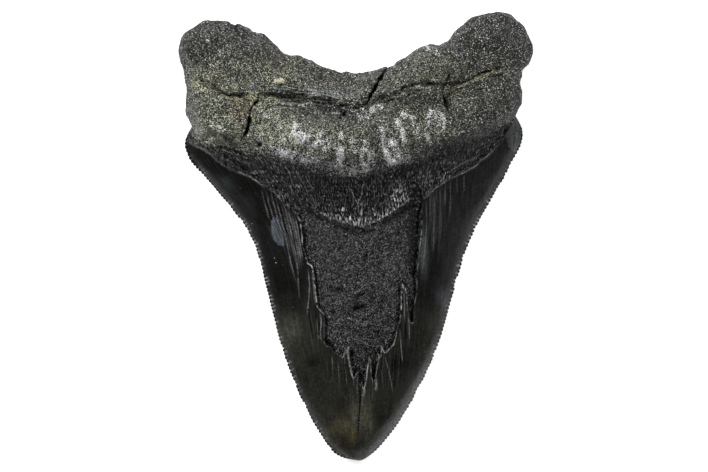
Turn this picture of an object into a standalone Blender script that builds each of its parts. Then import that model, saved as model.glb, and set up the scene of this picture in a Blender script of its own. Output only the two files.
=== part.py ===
"""Fossil tooth of a very large shark, lying on its labial face.

One solid, "tooth". The broad two-lobed root points to +Y, the crown's tip to -Y, and the
lingual face (the strongly domed one) looks up, to +Z. The solid rests on three spots of
its labial face: one under each root lobe and one under the belly of the blade.

The outline is drafted on a square grid: g runs to the right, h runs down towards the tip.
Two skins, lingual and labial, are raised over that outline as functions of (g, h) and share
the outline itself as their common edge, so the cutting edges are sharp and the solid closed.
"""

import math

import bmesh
import bpy
import numpy as np
from mathutils import Vector
from mathutils.geometry import delaunay_2d_cdt

# ---------------------------------------------------------------- driving dimensions
GRID = 0.255e-3        # one square of the drafting grid, m
G0, H0 = 355.6, 236.3  # grid point over the part's origin
MM = 1e-3

ROOT_EDGE_Z = 5.6      # height of the root's rounded side line, mm
BLADE_EDGE_Z = 2.7     # height of the cutting edges, mm
LOBE_TOP = 13.2        # top of the root lobes, mm
BOSS_RISE = 9.0        # lingual protuberance above the lobes, mm
ROOT_ROUND = 30.0      # width of the root's rounding, grid squares
LIP_STEP = 1.3         # step from the root down to the bourlette, mm
ENAMEL = 0.8           # enamel thickness: depth of the bare dentine, mm
FURROW_DEEP = 1.9      # depth of the furrow across the root, mm
FURROW_HALF = 5.0      # half width of the furrow, grid squares
HILUM_DEEP, HILUM_R = 1.6, 4.5   # nutrient foramen

TOP_STEP = 7.6         # point spacing of the lingual skin, grid squares
UNDER_STEP = 12.0      # point spacing of the labial skin
EDGE_STEP = 6.4        # point spacing along the outline

# ---------------------------------------------------------------- drafted outline
ROOT_LINE = (   # from the left crown shoulder over both root lobes to the right shoulder
    (191.7, 126.5), (189.5, 121), (186.1, 114.8), (185.7, 103), (186.5, 90.3),
    (184.9, 75.8), (180.7, 63.9), (178.4, 51), (180.7, 38.7), (188.8, 29.5),
    (200.3, 23.4), (210, 20.9), (224, 21.5), (235.5, 25), (248.5, 28.3),
    (260.7, 33.3), (271.4, 41), (280.6, 50.2), (291, 55.6), (301.3, 56.7),
    (316.5, 63.9), (332.4, 69.5), (349, 72.8), (366.7, 72.5), (381.8, 68.3),
    (394, 66), (402.2, 60.3), (411.8, 52.6), (422.3, 46.4), (434.7, 44.6),
    (447.2, 41.6), (457.7, 28.7), (468.2, 19.6), (481.6, 15.8), (498.8, 12),
    (510.3, 14.8), (521.8, 25.4), (530.9, 42), (532.4, 52), (528.5, 64),
    (522.6, 74), (521.6, 88), (521.9, 101.8), (518.2, 111), (515.9, 116.3))
RIGHT_BLADE = (
    (519.3, 122.4), (522.8, 131), (520.3, 146), (510.3, 164), (498.8, 185.4),
    (484.9, 210), (474, 231.3), (463.1, 257.4), (456.1, 280), (448.7, 308.5),
    (441, 335.9), (431.5, 361.4), (417.5, 388.8), (404.6, 412.5), (393.7, 429.3),
    (379.9, 446.1), (369, 456))
TIP = (359.6, 460.7)
LEFT_BLADE = (   # from the tip up to the left shoulder
    (346.3, 458.5), (334.4, 453), (322.6, 437.2), (311.7, 419.4), (299.8, 395.7),
    (290.4, 372), (283.1, 350.3), (276.8, 329), (271.1, 306.6), (265.7, 284.8),
    (259.3, 259.3), (251, 237), (236.5, 214.8), (219.8, 194.2), (202.2, 173.6),
    (189.9, 159.8), (184.9, 146), (186, 136.5))

# lower border of the root's lingual bulge, lower border of the bourlette, and the ragged
# border of the patch where the enamel is gone
ROOT_FOOT = ((180, 122), (200, 136), (230, 148), (262, 156), (300, 165), (350, 173),
             (392, 166), (430, 151), (463, 140), (491, 130), (526, 116))
BOURLETTE_FOOT = ((180, 140), (202, 149), (216, 160), (237, 172), (256, 181), (275, 193),
                  (287, 206), (298, 215), (348, 224), (402, 206), (423, 199), (435, 188),
                  (464, 172), (485, 157), (501, 141), (526, 128))
BARE_PATCH = ((298, 215), (303, 247), (309, 264), (316, 292), (321, 310), (326, 345),
              (343, 356), (351, 372), (360, 386), (372, 372), (384, 352), (396, 336),
              (401, 320), (414, 312), (416, 280), (420, 240), (423, 199), (402, 206),
              (348, 224))
FURROW = ((193, 81), (216, 90), (236, 96), (275, 97), (315, 101), (347, 106), (366, 108),
          (385, 97), (409, 87), (441, 84), (469, 80), (499, 70))


# ---------------------------------------------------------------- small tools
def smooth(a, b, x):
    s = np.clip((x - a) / (b - a), 0.0, 1.0)
    return s * s * (3.0 - 2.0 * s)


def catmull(points, step):
    """Centripetal Catmull-Rom curve through a closed ring of points, evenly re-spaced."""
    ring = [Vector(p) for p in points]
    n = len(ring)
    fine = []
    for i in range(n):
        a, b, c, d = ring[i - 1], ring[i], ring[(i + 1) % n], ring[(i + 2) % n]
        t0 = 0.0
        t1 = t0 + max((b - a).length, 1e-6) ** 0.5
        t2 = t1 + max((c - b).length, 1e-6) ** 0.5
        t3 = t2 + max((d - c).length, 1e-6) ** 0.5
        for k in range(24):
            t = t1 + (t2 - t1) * k / 24.0
            ab = a * ((t1 - t) / (t1 - t0)) + b * ((t - t0) / (t1 - t0))
            bc = b * ((t2 - t) / (t2 - t1)) + c * ((t - t1) / (t2 - t1))
            cd = c * ((t3 - t) / (t3 - t2)) + d * ((t - t2) / (t3 - t2))
            abc = ab * ((t2 - t) / (t2 - t0)) + bc * ((t - t0) / (t2 - t0))
            bcd = bc * ((t3 - t) / (t3 - t1)) + cd * ((t - t1) / (t3 - t1))
            fine.append(abc * ((t2 - t) / (t2 - t1)) + bcd * ((t - t1) / (t2 - t1)))
    pts = np.array([tuple(p) for p in fine])
    closed = np.vstack([pts, pts[:1]])
    run = np.concatenate([[0.0], np.cumsum(np.hypot(*np.diff(closed, axis=0).T))])
    count = int(round(run[-1] / step))
    where = np.linspace(0.0, run[-1], count, endpoint=False)
    return np.stack([np.interp(where, run, closed[:, 0]), np.interp(where, run, closed[:, 1])], 1)


def distance(points, line, closed):
    """Shortest distance from each point to a polyline."""
    line = np.asarray(line, float)
    a = line if closed else line[:-1]
    b = np.roll(line, -1, axis=0) if closed else line[1:]
    best = np.full(len(points), 1e9)
    for p, q in zip(a, b):
        d = q - p
        s = np.clip(((points - p) @ d) / max(d @ d, 1e-12), 0.0, 1.0)
        best = np.minimum(best, np.hypot(*(points - p - s[:, None] * d).T))
    return best


def inside(points, ring):
    """Even-odd test of each point against a closed ring."""
    g, h = points.T
    hit = np.zeros(len(points), bool)
    for (g1, h1), (g2, h2) in zip(ring, np.roll(ring, -1, axis=0)):
        if h1 == h2:
            continue
        crosses = (h1 > h) != (h2 > h)
        hit ^= crosses & (g < (g2 - g1) * (h - h1) / (h2 - h1) + g1)
    return hit


def height_at(line, g):
    line = np.asarray(line, float)
    return np.interp(g, line[:, 0], line[:, 1])


# ---------------------------------------------------------------- the two skins
outline = catmull(ROOT_LINE + RIGHT_BLADE + (TIP,) + LEFT_BLADE, EDGE_STEP)
left_side = np.array((ROOT_LINE[0],) + tuple(reversed(LEFT_BLADE)) + (TIP,))
right_side = np.array((ROOT_LINE[-1],) + RIGHT_BLADE + (TIP,))


def edge_height(g, h):
    root = ROOT_EDGE_Z + 2.4 * np.exp(-(((g - 350.0) / 75.0) ** 2))
    blade = BLADE_EDGE_Z + 0.5 * smooth(400.0, 461.0, h)
    return root + (blade - root) * smooth(96.0, 140.0, h)


def across(g, h):
    """Place across the blade: 0 on its middle, 1 on either cutting edge."""
    lo = np.interp(h, left_side[:, 1], left_side[:, 0])
    hi = np.interp(h, right_side[:, 1], right_side[:, 0])
    return np.clip(np.abs(g - 0.5 * (lo + hi)) / np.maximum(0.5 * (hi - lo), 1.0), 0.0, 1.0)


def lingual(points, rim):
    g, h = points.T
    t = across(g, h)
    dome = np.interp(h, (100, 150, 200, 250, 300, 350, 400, 430, 450, 461),
                     (15.5, 13.6, 11.4, 9.8, 8.6, 7.2, 5.4, 3.8, 2.1, 0.4))
    crown = edge_height(g, h) + dome * (1.0 - t * t) ** 0.92
    # root: rounded rim, lobes and the central protuberance
    boss = np.exp(-(((g - 352.0) / 86.0) ** 2) - ((h - 139.0) / 44.0) ** 2)
    top = LOBE_TOP + BOSS_RISE * boss + 1.2 * np.sin(g / 23.0) * np.sin(h / 17.0)
    k = np.clip(rim / ROOT_ROUND, 0.0, 1.0)
    root = edge_height(g, h) + (top - edge_height(g, h)) * np.sqrt(1.0 - (1.0 - k) ** 2)
    foot = height_at(ROOT_FOOT, g)
    share = 1.0 - smooth(foot - 10.0, foot + 7.0, h)
    z = crown + (root - crown) * share
    # bourlette: a narrow band set a little below the enamel and well below the root
    band = smooth(foot - 2.0, foot + 6.0, h) * (1.0 - smooth(-5.0, 2.0, h - height_at(BOURLETTE_FOOT, g)))
    keep = smooth(0.0, 14.0, rim)
    z -= 0.5 * LIP_STEP * band * keep
    # enamel missing over the middle of the blade
    bare = inside(points, np.array(BARE_PATCH, float))
    z -= ENAMEL * np.where(bare, smooth(0.0, 5.0, distance(points, BARE_PATCH, True)), 0.0)
    # furrow across the root and the foramen under its middle
    far = distance(points, FURROW, False)
    z -= FURROW_DEEP * np.exp(-((far / FURROW_HALF) ** 2)) * smooth(0.0, 20.0, rim)
    z -= HILUM_DEEP * np.exp(-(((g - 344.0) ** 2 + (h - 116.0) ** 2) / HILUM_R ** 2))
    return z


def labial(points, rim):
    g, h = points.T
    t = across(g, h)
    belly = np.interp(h, (100, 150, 250, 330, 370, 410, 440, 461),
                      (1.0, 1.5, 2.3, 3.3, 3.3, 2.7, 1.5, 0.2))
    blade = edge_height(g, h) - belly * (1.0 - t * t) ** 0.8
    floor = 2.3
    for gc, hc, rg, rh in ((224.0, 64.0, 34.0, 32.0), (481.0, 60.0, 36.0, 34.0)):
        floor = floor - 3.6 * np.exp(-(((g - gc) / rg) ** 2) - ((h - hc) / rh) ** 2)
    k = np.clip(rim / (0.85 * ROOT_ROUND), 0.0, 1.0)
    root = edge_height(g, h) - (edge_height(g, h) - floor) * np.sqrt(1.0 - (1.0 - k) ** 2)
    foot = 132.0 + 34.0 * np.exp(-(((g - 352.0) / 95.0) ** 2))
    z = root + (blade - root) * smooth(foot - 22.0, foot + 10.0, h)
    return np.maximum(z, 0.0)


def scatter(step, rings):
    """Inner points: rows that follow the outline, then a hexagonal field."""
    ahead, behind = np.roll(outline, -1, axis=0), np.roll(outline, 1, axis=0)
    along = ahead - behind
    normal = np.stack([-along[:, 1], along[:, 0]], 1) / np.hypot(*along.T)[:, None]
    found = []
    for i, far in enumerate(rings):
        shifted = outline + normal * far
        if i:
            shifted = 0.5 * (shifted + np.roll(shifted, -1, axis=0))
        rim = distance(shifted, outline, True)
        found.append(shifted[inside(shifted, outline) & (rim > 0.93 * far)])
    g = np.arange(outline[:, 0].min(), outline[:, 0].max(), step)
    h = np.arange(outline[:, 1].min(), outline[:, 1].max(), step * math.sqrt(0.75))
    gg, hh = np.meshgrid(g, h)
    gg[1::2] += step / 2.0
    field = np.stack([gg.ravel(), hh.ravel()], 1)
    field = field[inside(field, outline)]
    rim = distance(field, outline, True)
    found.append(field[rim > rings[-1] + 0.55 * step])
    return np.vstack(found)


def skin(step, rings):
    inner = scatter(step, rings)
    points = np.vstack([outline, inner])
    loop = list(range(len(outline)))
    verts, _, faces, from_vert, _, _ = delaunay_2d_cdt(
        [Vector(p) for p in points], [], [loop], 1, 1e-6)
    if len(verts) != len(points) or any(o != [i] for i, o in enumerate(from_vert)):
        raise ValueError("two drafted points fall together")
    return points, [tuple(f) for f in faces]


def solid_mesh():
    bm = bmesh.new()
    n = len(outline)
    shared = None
    for height, step, rings, up in ((lingual, TOP_STEP, (1.7, 5.4, 11.0), True),
                                    (labial, UNDER_STEP, (2.6, 9.0), False)):
        points, faces = skin(step, rings)
        rim = distance(points, outline, True)
        z = height(points, rim)
        z[:n] = edge_height(*points[:n].T)
        made = [bm.verts.new(((g - G0) * GRID, (H0 - h) * GRID, zz * MM))
                for (g, h), zz in zip(points[n:], z[n:])]
        if shared is None:
            shared = [bm.verts.new(((g - G0) * GRID, (H0 - h) * GRID, zz * MM))
                      for (g, h), zz in zip(points[:n], z[:n])]
        verts = shared + made
        for face in faces:
            bm.faces.new([verts[i] for i in face])
    bmesh.ops.recalc_face_normals(bm, faces=bm.faces)
    box = np.array([v.co for v in bm.verts])
    middle = 0.5 * (box.min(axis=0) + box.max(axis=0))
    bmesh.ops.translate(bm, verts=bm.verts, vec=(-middle[0], -middle[1], -box[:, 2].min()))
    mesh = bpy.data.meshes.new("tooth")
    bm.to_mesh(mesh)
    bm.free()
    mesh.shade_smooth()
    mesh.set_sharp_from_angle(angle=math.radians(60.0))
    return mesh


# ---------------------------------------------------------------- scene
for old in list(bpy.data.objects):
    bpy.data.objects.remove(old)

fossil = bpy.data.materials.new("fossil_tooth")
fossil.use_nodes = True
shader = fossil.node_tree.nodes["Principled BSDF"]
shader.inputs["Base Color"].default_value = (0.030, 0.030, 0.028, 1.0)
shader.inputs["Roughness"].default_value = 0.42
shader.inputs["Metallic"].default_value = 0.0
fossil.diffuse_color = (0.030, 0.030, 0.028, 1.0)

tooth = bpy.data.objects.new("tooth", solid_mesh())
tooth.data.materials.append(fossil)
bpy.context.scene.collection.objects.link(tooth)
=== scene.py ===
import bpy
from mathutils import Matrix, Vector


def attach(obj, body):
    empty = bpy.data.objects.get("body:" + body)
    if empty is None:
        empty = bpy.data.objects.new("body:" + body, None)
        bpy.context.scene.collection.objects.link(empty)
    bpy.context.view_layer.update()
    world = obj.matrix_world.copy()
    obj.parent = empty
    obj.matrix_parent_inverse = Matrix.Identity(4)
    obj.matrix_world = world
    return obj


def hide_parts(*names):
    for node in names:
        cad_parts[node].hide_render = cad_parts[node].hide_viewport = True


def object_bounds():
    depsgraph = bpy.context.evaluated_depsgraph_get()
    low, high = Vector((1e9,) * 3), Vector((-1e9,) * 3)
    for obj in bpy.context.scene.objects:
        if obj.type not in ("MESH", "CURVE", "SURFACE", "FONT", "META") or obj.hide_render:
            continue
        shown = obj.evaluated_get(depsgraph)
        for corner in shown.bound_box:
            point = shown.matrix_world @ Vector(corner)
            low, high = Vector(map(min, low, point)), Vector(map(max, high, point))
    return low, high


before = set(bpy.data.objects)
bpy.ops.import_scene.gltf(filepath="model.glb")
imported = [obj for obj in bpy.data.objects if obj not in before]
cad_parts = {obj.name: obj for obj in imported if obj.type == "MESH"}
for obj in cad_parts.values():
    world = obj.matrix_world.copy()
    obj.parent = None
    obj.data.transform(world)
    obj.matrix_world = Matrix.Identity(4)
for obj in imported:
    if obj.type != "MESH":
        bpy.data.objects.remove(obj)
cad_box = [list(map(float, c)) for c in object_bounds()]

import math

import bmesh
import bpy
import numpy as np
from mathutils import Vector, noise
from mathutils.geometry import delaunay_2d_cdt
from mathutils.kdtree import KDTree

# The tooth is drafted on the same square grid as the CAD: g to the right, h down to the tip.
GRID = 0.255e-3
G0, H0 = 355.4, 236.35
MM = 1e-3
RNG = np.random.default_rng(20)

# ------------------------------------------------------------------ drafted lines
ROOT_LINE = (
    (191.7, 126.5), (189.5, 121), (186.1, 114.8), (185.7, 107), (185.7, 100.3), (186.5, 90.3),
    (186.1, 82), (184.9, 75.8), (183.4, 69.3), (180.7, 63.9), (178.8, 57), (178.4, 51),
    (179.6, 43.3), (180.7, 38.7), (184.2, 33.3), (188.8, 29.5), (195.7, 26.4), (200.3, 23.4),
    (204, 21.2), (210, 20.9), (218, 20.9), (224, 21.5), (228.6, 22.2), (231.6, 24.5),
    (235.5, 25.7), (237.8, 23.7), (242.3, 25.3), (248.5, 28.3), (253, 31.8), (256, 32.4),
    (258.4, 33.9), (260.7, 33.3), (266.8, 36.4), (271.4, 41), (276.8, 45.6), (280.6, 50.2),
    (284.4, 54.4), (287, 55.1), (291, 55.8), (296.5, 55.5), (301.3, 56.7), (305.3, 59.1),
    (309.3, 60.7), (311, 60.3), (316.5, 63.9), (323.6, 67.5), (326, 67.3), (332.4, 69.5),
    (338.8, 72.3), (342, 73.1), (349, 72.5), (358, 73.3), (366.7, 72.5), (374.7, 70.3),
    (381.8, 68.3), (386.6, 67.1), (387.6, 68.2), (389.8, 67.4), (394, 66), (397.4, 62.7),
    (402.2, 60.3), (407, 57.4), (411.8, 52.6), (415.6, 49.7), (422.3, 46.4), (427, 45.4),
    (431.4, 43.8), (434.7, 45), (439.5, 45), (443.4, 42.6), (447.2, 41.6), (451, 37.3),
    (453.9, 33), (457.7, 28.7), (463.4, 24.4), (468.2, 19.6), (473, 17), (481.6, 15.8),
    (489.3, 13.9), (498.8, 12), (504.6, 12.6), (510.3, 14.8), (516, 19.6), (521.8, 25.4),
    (526.6, 33.5), (530.9, 42), (532.6, 49.7), (531.4, 57.4), (528.5, 64), (522.8, 70.8),
    (522.3, 76.5), (520.8, 82.5), (522.6, 93.5), (521.9, 101.8), (518.2, 111), (515.9, 116.3))
RIGHT_BLADE = (
    (519.3, 122.4), (522.8, 131), (522.5, 137.2), (520.3, 146), (515.6, 154.8), (510.3, 164),
    (508, 169.3), (504.1, 177.8), (498.8, 185.4), (494.2, 193.8), (490.4, 200.7), (484.9, 210),
    (479.1, 220.4), (474, 231.3), (470.2, 239.5), (465.7, 250.4), (463.1, 257.4), (460.6, 267),
    (458, 275.4), (455.6, 279.4), (454.5, 288.5), (451.5, 298.3), (448.7, 308.5), (445.8, 319.3),
    (443.6, 327), (441, 335.9), (438.5, 342.9), (434.6, 353.1), (431.5, 361.4), (427.6, 369.1),
    (423.4, 378.9), (417.2, 388.8), (413.5, 397.7), (410.5, 403.6), (404.6, 412.5),
    (398.7, 422.4), (393.7, 429.3), (386.8, 438.2), (379.9, 446.1), (374, 452), (369, 456),
    (364.1, 459.3))
TIP = (359.6, 460.7)
LEFT_BLADE = (
    (353.2, 459.9), (346.3, 458.5), (340.4, 456.5), (334.4, 453), (328.5, 446.1), (322.6, 437.2),
    (317.6, 429.3), (311.7, 419.4), (305.8, 406.6), (299.8, 395.7), (294.9, 382.9), (290.4, 372),
    (286, 360.6), (283.1, 350.3), (279.4, 339.4), (276.8, 329), (274.8, 320.4), (272.8, 313),
    (271.1, 306.6), (269.3, 298.5), (267.5, 291.5), (265.7, 284.8), (263.8, 276.5), (261.9, 267),
    (259.3, 259.3), (257.4, 252.9), (254.9, 244.6), (251, 237), (247.2, 230), (242.8, 222.3),
    (236.5, 214.8), (232, 208.8), (229, 204.2), (225.9, 201.1), (219.8, 194.2), (213.7, 186.6),
    (208.3, 180.5), (202.2, 173.6), (195.3, 166.7), (189.9, 159.8), (186.9, 152.5), (184.9, 146),
    (185.5, 139), (188.6, 132))

# lower border of the root; lower border of the bourlette against enamel and bare dentine
ROOT_FOOT = ((170, 112), (186, 124), (191, 127.5), (199, 136), (213.5, 140.6), (228, 143),
             (245, 145.5), (257, 149), (271.6, 155), (291, 162), (310, 168), (334.7, 175),
             (356, 177.5), (383, 171), (407, 164), (431.6, 155), (456, 145.4), (480, 138),
             (504, 126), (516, 117), (535, 100))
BOUR_FOOT = ((170, 136), (186.9, 142.2), (193.8, 146), (202.2, 149.1), (210.6, 153.7),
             (216, 159.8), (222.9, 165.2), (229, 169), (237.4, 172), (245.8, 175.1),
             (251.2, 177.4), (256.5, 181.2), (261.1, 184.7), (264.9, 188.1), (270.3, 190),
             (274.9, 192.7), (279.5, 198.1), (282.5, 200.4), (287.1, 206.5), (289.4, 211.1),
             (298, 215.4), (301.6, 208), (315, 210), (325.7, 217), (340, 222.5), (348, 224.3),
             (361.4, 228), (374.8, 222.5), (388.2, 215.4), (401.6, 206.4), (412, 201),
             (423.8, 198.4), (431.4, 191.5), (435.3, 187.7), (441.5, 182.5), (447.5, 180),
             (453.6, 177.4), (459, 174.7), (464.3, 172), (469.7, 169.3), (475.8, 165.5),
             (480.4, 160.2), (485, 157.5), (489.6, 153.3), (493.4, 149.4), (496.5, 145.6),
             (501.1, 141), (507, 132), (512, 124), (520, 112), (535, 96))
# border of the place where the enamel has flaked off, with its splinters
BARE = (
    (298, 215.4), (300.7, 220.7), (302.5, 231.4), (303.3, 246.6), (305.3, 252.4), (308.3, 263.2),
    (312.4, 265.7), (314.5, 275.6), (316.2, 292.2), (318.1, 307.5), (321.3, 310.2), (325, 314.3),
    (324.7, 327), (324.7, 340.5), (325.6, 345), (331.4, 347), (333, 351.4), (338, 353.6),
    (342.9, 356.7), (345.2, 346.7), (346.6, 349.5), (349, 346), (349.8, 352.9), (349.4, 357.4),
    (350.6, 368.2), (353.6, 377.3), (357, 372), (358.6, 371), (359.4, 384), (360.8, 384),
    (361.8, 379), (363.4, 389), (365.9, 379), (366.6, 369.7), (368.9, 355.9), (371.2, 359.7),
    (371.6, 376), (374, 381), (376.2, 369), (378.5, 351.3), (380.1, 357), (381.9, 346),
    (385, 352.5), (389.6, 347.5), (393.4, 343.7), (394.9, 338.3), (398, 325.3), (399.5, 320),
    (400.7, 308), (400.7, 294.7), (402, 281.4), (404.2, 288.8), (405.3, 287.2), (407, 296.3),
    (408.4, 313), (409.6, 321.5), (412.6, 322.5), (413.6, 316), (414.2, 300.5), (416.5, 293),
    (416.1, 280), (416.9, 268), (418.2, 256.5), (418.8, 248.5), (420.4, 236), (421.3, 222.5),
    (420.8, 217), (422.1, 210), (423, 199.3), (412, 201), (401.6, 206.4), (388.2, 215.4),
    (374.8, 222.5), (361.4, 228), (348, 224.3), (340, 222.5), (325.7, 217), (315, 210),
    (303, 208.6))
FURROW = ((192.6, 80.4), (205.6, 84.2), (216.3, 89.5), (227, 94.9), (236.2, 95.7), (252, 95.6),
          (268, 95.4), (283, 97), (300, 99.4), (315, 101), (331, 105), (347, 108.6), (359, 109.4),
          (370, 106), (380, 99.5), (389.8, 94.7), (399.3, 90.9), (408.9, 86.4), (418.5, 84.4),
          (430, 84.2), (443, 84.4), (455.8, 83.4), (469.2, 80.4), (480.7, 74.6), (490.2, 71.3),
          (499.8, 68.9), (515.1, 65))
# cracks: line, half width (grid squares), depth (mm)
CRACKS = (
    (((388.4, 66), (385.4, 71), (381.8, 77), (378.2, 83), (374.6, 89), (371, 95.2),
      (368, 101), (365, 106)), 2.15, 2.4),
    (((258.8, 95), (257.4, 101), (254.5, 106), (251.5, 110.2), (250.2, 116.3), (249.4, 122.4),
      (247.3, 131.6), (242.3, 139.3)), 1.6, 1.7),
    (((451.5, 70), (448.8, 77.5), (446, 83), (443, 88), (442.4, 94), (444.2, 100.6),
      (446.2, 106), (447.8, 111)), 1.15, 1.2),
    (((321.6, 67.5), (321.4, 75), (322.8, 80), (323.6, 85.6)), 1.6, 0.45),
    (((196, 78.6), (207, 83), (215, 88), (221, 92), (228, 96), (237, 96.2), (244, 99.4), (249, 101)), 1.3, 0.55),
    (((258, 92.4), (268, 95), (280, 97), (290, 99.4), (305, 102.6), (320, 104), (340, 106.4), (360, 103.4),
      (368, 100)), 1.3, 0.42),
    (((266, 91), (285, 92.4), (300, 95.4), (315, 99), (325, 100.4), (345, 101.6), (356, 103)), 1.1, 0.42),
    (((281, 100.4), (298, 103), (312, 106), (330, 109)), 0.9, 0.36),
    (((393, 95), (400, 90), (408, 86.6), (418, 84.6), (430, 84.6), (440, 85.6), (445, 84)), 1.25, 0.5),
    (((380, 101), (388, 98.6), (398, 94.4), (410, 92), (422, 91), (436, 91.4)), 1.0, 0.5),
    (((372, 106), (382, 103.4), (392, 101), (404, 97.4), (416, 94)), 1.1, 0.5),
    (((450, 84.6), (460, 83), (468, 81.4), (475, 76.6), (483, 73), (490, 71.4), (497, 69.4), (505, 67),
      (514, 65.4)), 1.1, 0.58),
    (((236.5, 24), (236.2, 29), (238.4, 34)), 1.0, 0.6),
    (((300, 77), (303, 84), (302, 91)), 0.8, 0.35),
    (((412, 62), (408, 70), (409.5, 78)), 0.8, 0.35),
    (((478, 95), (482, 108), (480, 120)), 0.8, 0.35),
    (((214, 104), (218, 114), (216, 124)), 0.8, 0.35),
    (((403.7, 184), (409, 182.6), (414.6, 184.6), (418.6, 189), (420.6, 195), (421.4, 201),
      (419.4, 212), (418, 225), (416.6, 240)), 1.5, 0.7),
    (((359.6, 384), (360.2, 397.7), (359.6, 411), (358.6, 425.4), (358.4, 436)), 1.04, 0.95),
)
PITS = ((260.6, 145, 2.4, 1.3), (344.4, 115.3, 2.9, 2.6), (340.2, 119.6, 1.9, 1.6), 
        (455.3, 122.5, 2.0, 0.6), (340, 291, 9, 0.45), (358, 310, 10, 0.5), (366, 257, 4, 0.35),
        (280, 88.7, 2.2, 0.4), (391, 104, 3.2, 0.5), (300, 108, 3.0, 0.45), (420, 99, 3.5, 0.5))
# worn knobs along the root's lingual bulge, with painted highlights: line, half width, height, polish and painted
# highlight strength
KNOBS = (
    (((295.4, 124.6), (294.2, 130), (294.6, 135.6)), 2.1, 0.45, 1.0),
    (((301, 133.8), (304.8, 135.8), (305.6, 139.4), (303, 142.6), (299, 142.2), (297.4, 138.6), (298.4, 135)), 1.5, 0.4, 1.0),
    (((301, 138), (302, 139)), 2.0, 0.35, 0.85),
    (((320.4, 134), (320.8, 137.6)), 2.3, 0.35, 0.9),
    (((317.6, 145), (321.6, 143.8)), 3.7, 0.55, 1.2),
    (((326.6, 138), (329, 142), (328.6, 147), (325.6, 150)), 1.5, 0.35, 0.75),
    (((342, 136.4), (341.4, 139)), 2.0, 0.3, 0.85),
    (((341.6, 149), (341, 156), (340.4, 163.4)), 2.7, 0.55, 1.15),
    (((337.4, 160), (336.4, 168.6)), 1.4, 0.3, 0.6),
    (((363, 150.4), (367.4, 152), (369.4, 157), (368, 163), (364.4, 166), (361.8, 160), (362, 154)), 1.7, 0.4, 0.85),
    (((364.6, 142), (367, 146)), 1.4, 0.3, 0.6),
    (((382.4, 127), (382, 137)), 2.0, 0.4, 0.75),
    (((382.2, 137), (383, 146), (386, 154), (389.6, 161.6), (393.4, 161)), 2.1, 0.55, 1.1),
    (((391, 141), (393, 145)), 3.0, 0.5, 1.05),
    (((397.4, 122), (399.6, 126.6)), 2.0, 0.4, 0.9), (((400.6, 129), (402.6, 135), (403.8, 141)), 2.4, 0.5, 1.0),
    (((395, 150), (397.6, 156)), 1.9, 0.3, 0.65),
    (((404, 115.4), (411.5, 118.6)), 2.8, 0.4, 0.75),
    (((430.4, 112.6), (428.8, 116.6)), 2.5, 0.4, 0.85), (((427.6, 121), (429, 127)), 1.7, 0.3, 0.5),
    (((440, 114.4), (443.2, 118), (444.6, 124.6), (443.8, 131)), 2.3, 0.45, 0.9), (((435, 115), (437.4, 125)), 3.0, 0.2, 0.5),
    (((426.6, 135), (430.3, 144)), 1.6, 0.3, 0.75),
    (((437, 131), (438, 140)), 1.3, 0.3, 0.6),
    (((352, 140), (354.5, 152)), 2.0, 0.3, 0.45),
    (((311, 129), (309, 141), (311, 153)), 2.0, 0.3, 0.4),
    (((372, 152), (373, 163)), 1.8, 0.3, 0.5),
    (((283, 131), (284, 143)), 2.2, 0.3, 0.45),
    (((414, 124), (417, 137)), 2.2, 0.3, 0.45),
    (((372, 110), (374, 106.6), (378, 105)), 2.4, 0.35, 0.95),
    (((262, 113), (268, 117)), 2.6, 0.3, 0.55),
    (((219, 51), (221, 56)), 1.4, 0.3, 0.45),
    (((207, 40), (209.6, 44)), 1.4, 0.25, 0.5),
    (((436, 53), (438.6, 57)), 1.7, 0.3, 0.55),
    (((427, 47), (429, 50)), 1.6, 0.3, 0.65),
    (((283, 151), (287, 155)), 2.2, 0.2, 0.5),
    (((332, 114), (341, 114.6)), 0.9, 0.25, 0.85),
    (((269.4, 99), (271, 99.4)), 1.0, 0.2, 0.75),
    (((276.4, 100.6), (278, 101.2)), 1.1, 0.2, 0.9),
    (((281, 103), (282.6, 103.6)), 1.1, 0.2, 1.0),
    (((288.6, 104.6), (293, 105.4)), 1.1, 0.2, 1.0),
    (((297.6, 106.2), (303, 106.4)), 1.1, 0.2, 1.05),
    (((306, 105.4), (311.6, 103.4)), 1.0, 0.2, 0.95),
    (((318, 112), (321, 115)), 1.0, 0.2, 0.6),
    (((363, 110), (366.6, 113)), 1.4, 0.25, 0.85),
    (((365.4, 117.4), (368, 117)), 1.5, 0.25, 1.0),
    (((371, 113), (374, 112)), 1.6, 0.25, 0.8),
    (((379, 104), (382.6, 108.6)), 1.6, 0.25, 0.95),
    (((396, 91.4), (401, 87.6), (406, 85)), 0.9, 0.2, 0.65),
    (((412, 88.6), (420, 88), (428, 88.6)), 0.9, 0.2, 0.5),
    (((404, 94.6), (412, 95.6)), 0.9, 0.2, 0.5),
    (((351, 112.6), (364, 117)), 1.2, 0.25, 0.7),
    (((218, 127), (221.6, 128.6)), 1.7, 0.25, 0.8),
)
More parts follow.
